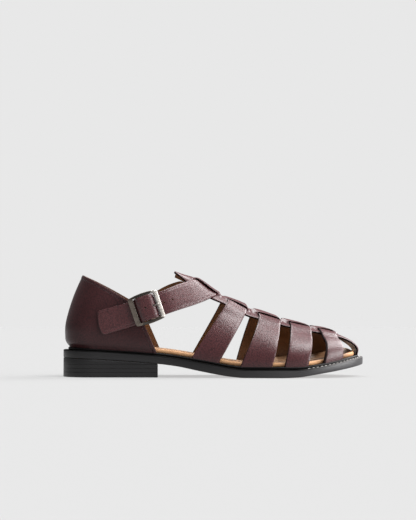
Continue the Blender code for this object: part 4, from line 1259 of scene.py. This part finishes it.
def buckle_tab():
    """A leather tab from the heel part that goes round the pin, slotted for the prong."""
    leaf = np.linspace((-TAB_LONG, TAB_REAR), (-TAB_RISE[0], TAB_RISE[1]), 16)
    path = np.concatenate((leaf, round_pin(PIN_RADIUS + GAP + TAB_THICK / 2, -95, 170)))
    half = np.linspace(-TAB_WIDE / 2, -TAB_SLOT / 2, 9)
    half = np.concatenate((half, -half[::-1]))
    outside, inside = (on_buckle([[(x + offset * dz, a, z - offset * dx) for a in half[::-1]]
                                  for (x, z), (dx, dz) in zip(path, directions(path))])
                       for offset in (TAB_THICK / 2, -TAB_THICK / 2))
    kept = np.ones((len(path) - 1, len(half) - 1), bool)
    kept[len(leaf) - 1:, len(half) // 2 - 1] = False
    round_edges(wall("buckle_tab_look", outside, inside, kept, STRAP_LEATHER, ("buckle_tab",)), 0.25)


# ---------------------------------------------------------------- stage, light, camera

CAMERA_FAR = 1.2016       # distance from the shoe's middle, m
CAMERA_HIGH = 0.05
SENSOR = 36.0             # mm
VIEW_TALL = 0.5205         # height of the view at the shoe's middle, m
AIM = (-0.0053, 0.1159)    # x and z of the view's centre
FLOOR_FAR = 40.0          # half of the floor's side, m


def stage():
    floor = bpy.data.meshes.new("floor")
    corners = [(-FLOOR_FAR, -FLOOR_FAR, 0), (FLOOR_FAR, -FLOOR_FAR, 0), (FLOOR_FAR, FLOOR_FAR, 0),
               (-FLOOR_FAR, FLOOR_FAR, 0)]
    floor.from_pydata(corners, [], [(0, 1, 2, 3)])
    floor.materials.append(studio_floor())
    piece = add_object("floor", floor)


def camera():
    lens = bpy.data.cameras.new("camera")
    lens.sensor_width = SENSOR
    lens.lens = SENSOR * CAMERA_FAR / VIEW_TALL
    lens.clip_start, lens.clip_end = 0.05, 200.0
    piece = add_object("camera", lens)
    spot = Vector((0.0, -CAMERA_FAR, CAMERA_HIGH))
    piece.location = spot
    piece.rotation_euler = (Vector((AIM[0], 0.0, AIM[1])) - spot).to_track_quat("-Z", "Y").to_euler()
    bpy.context.scene.camera = piece


BACKDROP = 0.807          # linear grey of the plain background
SKY_BASE = 0.28           # the sky's own light between the lights below
# Lights: direction as (azimuth from the camera's side towards the toe, elevation), where each
# one fades out and where it is full (angles away from its middle), and its strength.
LIGHTS = (
    ((120, 37), 24, 10, 14.0),
    ((62, 65), 20, 7, 15.5),
    ((74, 2), 31, 8, 13.0),
    ((208, 64), 25, 9, 9.5),
)


def direction(azimuth, elevation):
    """Unit direction; azimuth 0 is the camera's side and 90 the toe's."""
    a, e = math.radians(azimuth), math.radians(elevation)
    return (math.sin(a) * math.cos(e), -math.cos(a) * math.cos(e), math.sin(e))


def sky():
    """Soft studio light from four directions; the backdrop itself is plain."""
    world = bpy.data.worlds.new("studio")
    bpy.context.scene.world = world
    world.use_nodes = True
    tree = world.node_tree
    place_of = add_node(tree, "TexCoord").outputs["Generated"]
    light = SKY_BASE
    for middle, fade, full, strength in LIGHTS:
        toward = add_node(tree, "VectorMath", {0: place_of, 1: direction(*middle)}, operation="DOT_PRODUCT")
        low, high = (math.cos(math.radians(angle)) for angle in (fade, full))
        inputs = {"Value": toward.outputs["Value"], "From Min": low, "From Max": high, "To Max": strength}
        lobe = add_node(tree, "MapRange", inputs, interpolation_type="SMOOTHSTEP")
        light = add_node(tree, "Math", {0: lobe.outputs["Result"], 1: light}).outputs[0]
    seen = add_node(tree, "LightPath").outputs["Is Camera Ray"]
    choose = add_node(tree, "Mix", {"Factor": seen, "A": light, "B": BACKDROP})
    tree.links.new(choose.outputs["Result"], tree.nodes["Background"].inputs["Color"])


def main():
    outsole()
    heel()
    midsole()
    insole()
    for number in range(len(CROSS_STRAPS)):
        cross_strap(number)
    centre_band()
    ankle_strap()
    quarter()
    buckle_frame()
    buckle_prong()
    buckle_tab()
    stage()
    camera()
    sky()
    bpy.context.scene.view_settings.view_transform = "Standard"


main()
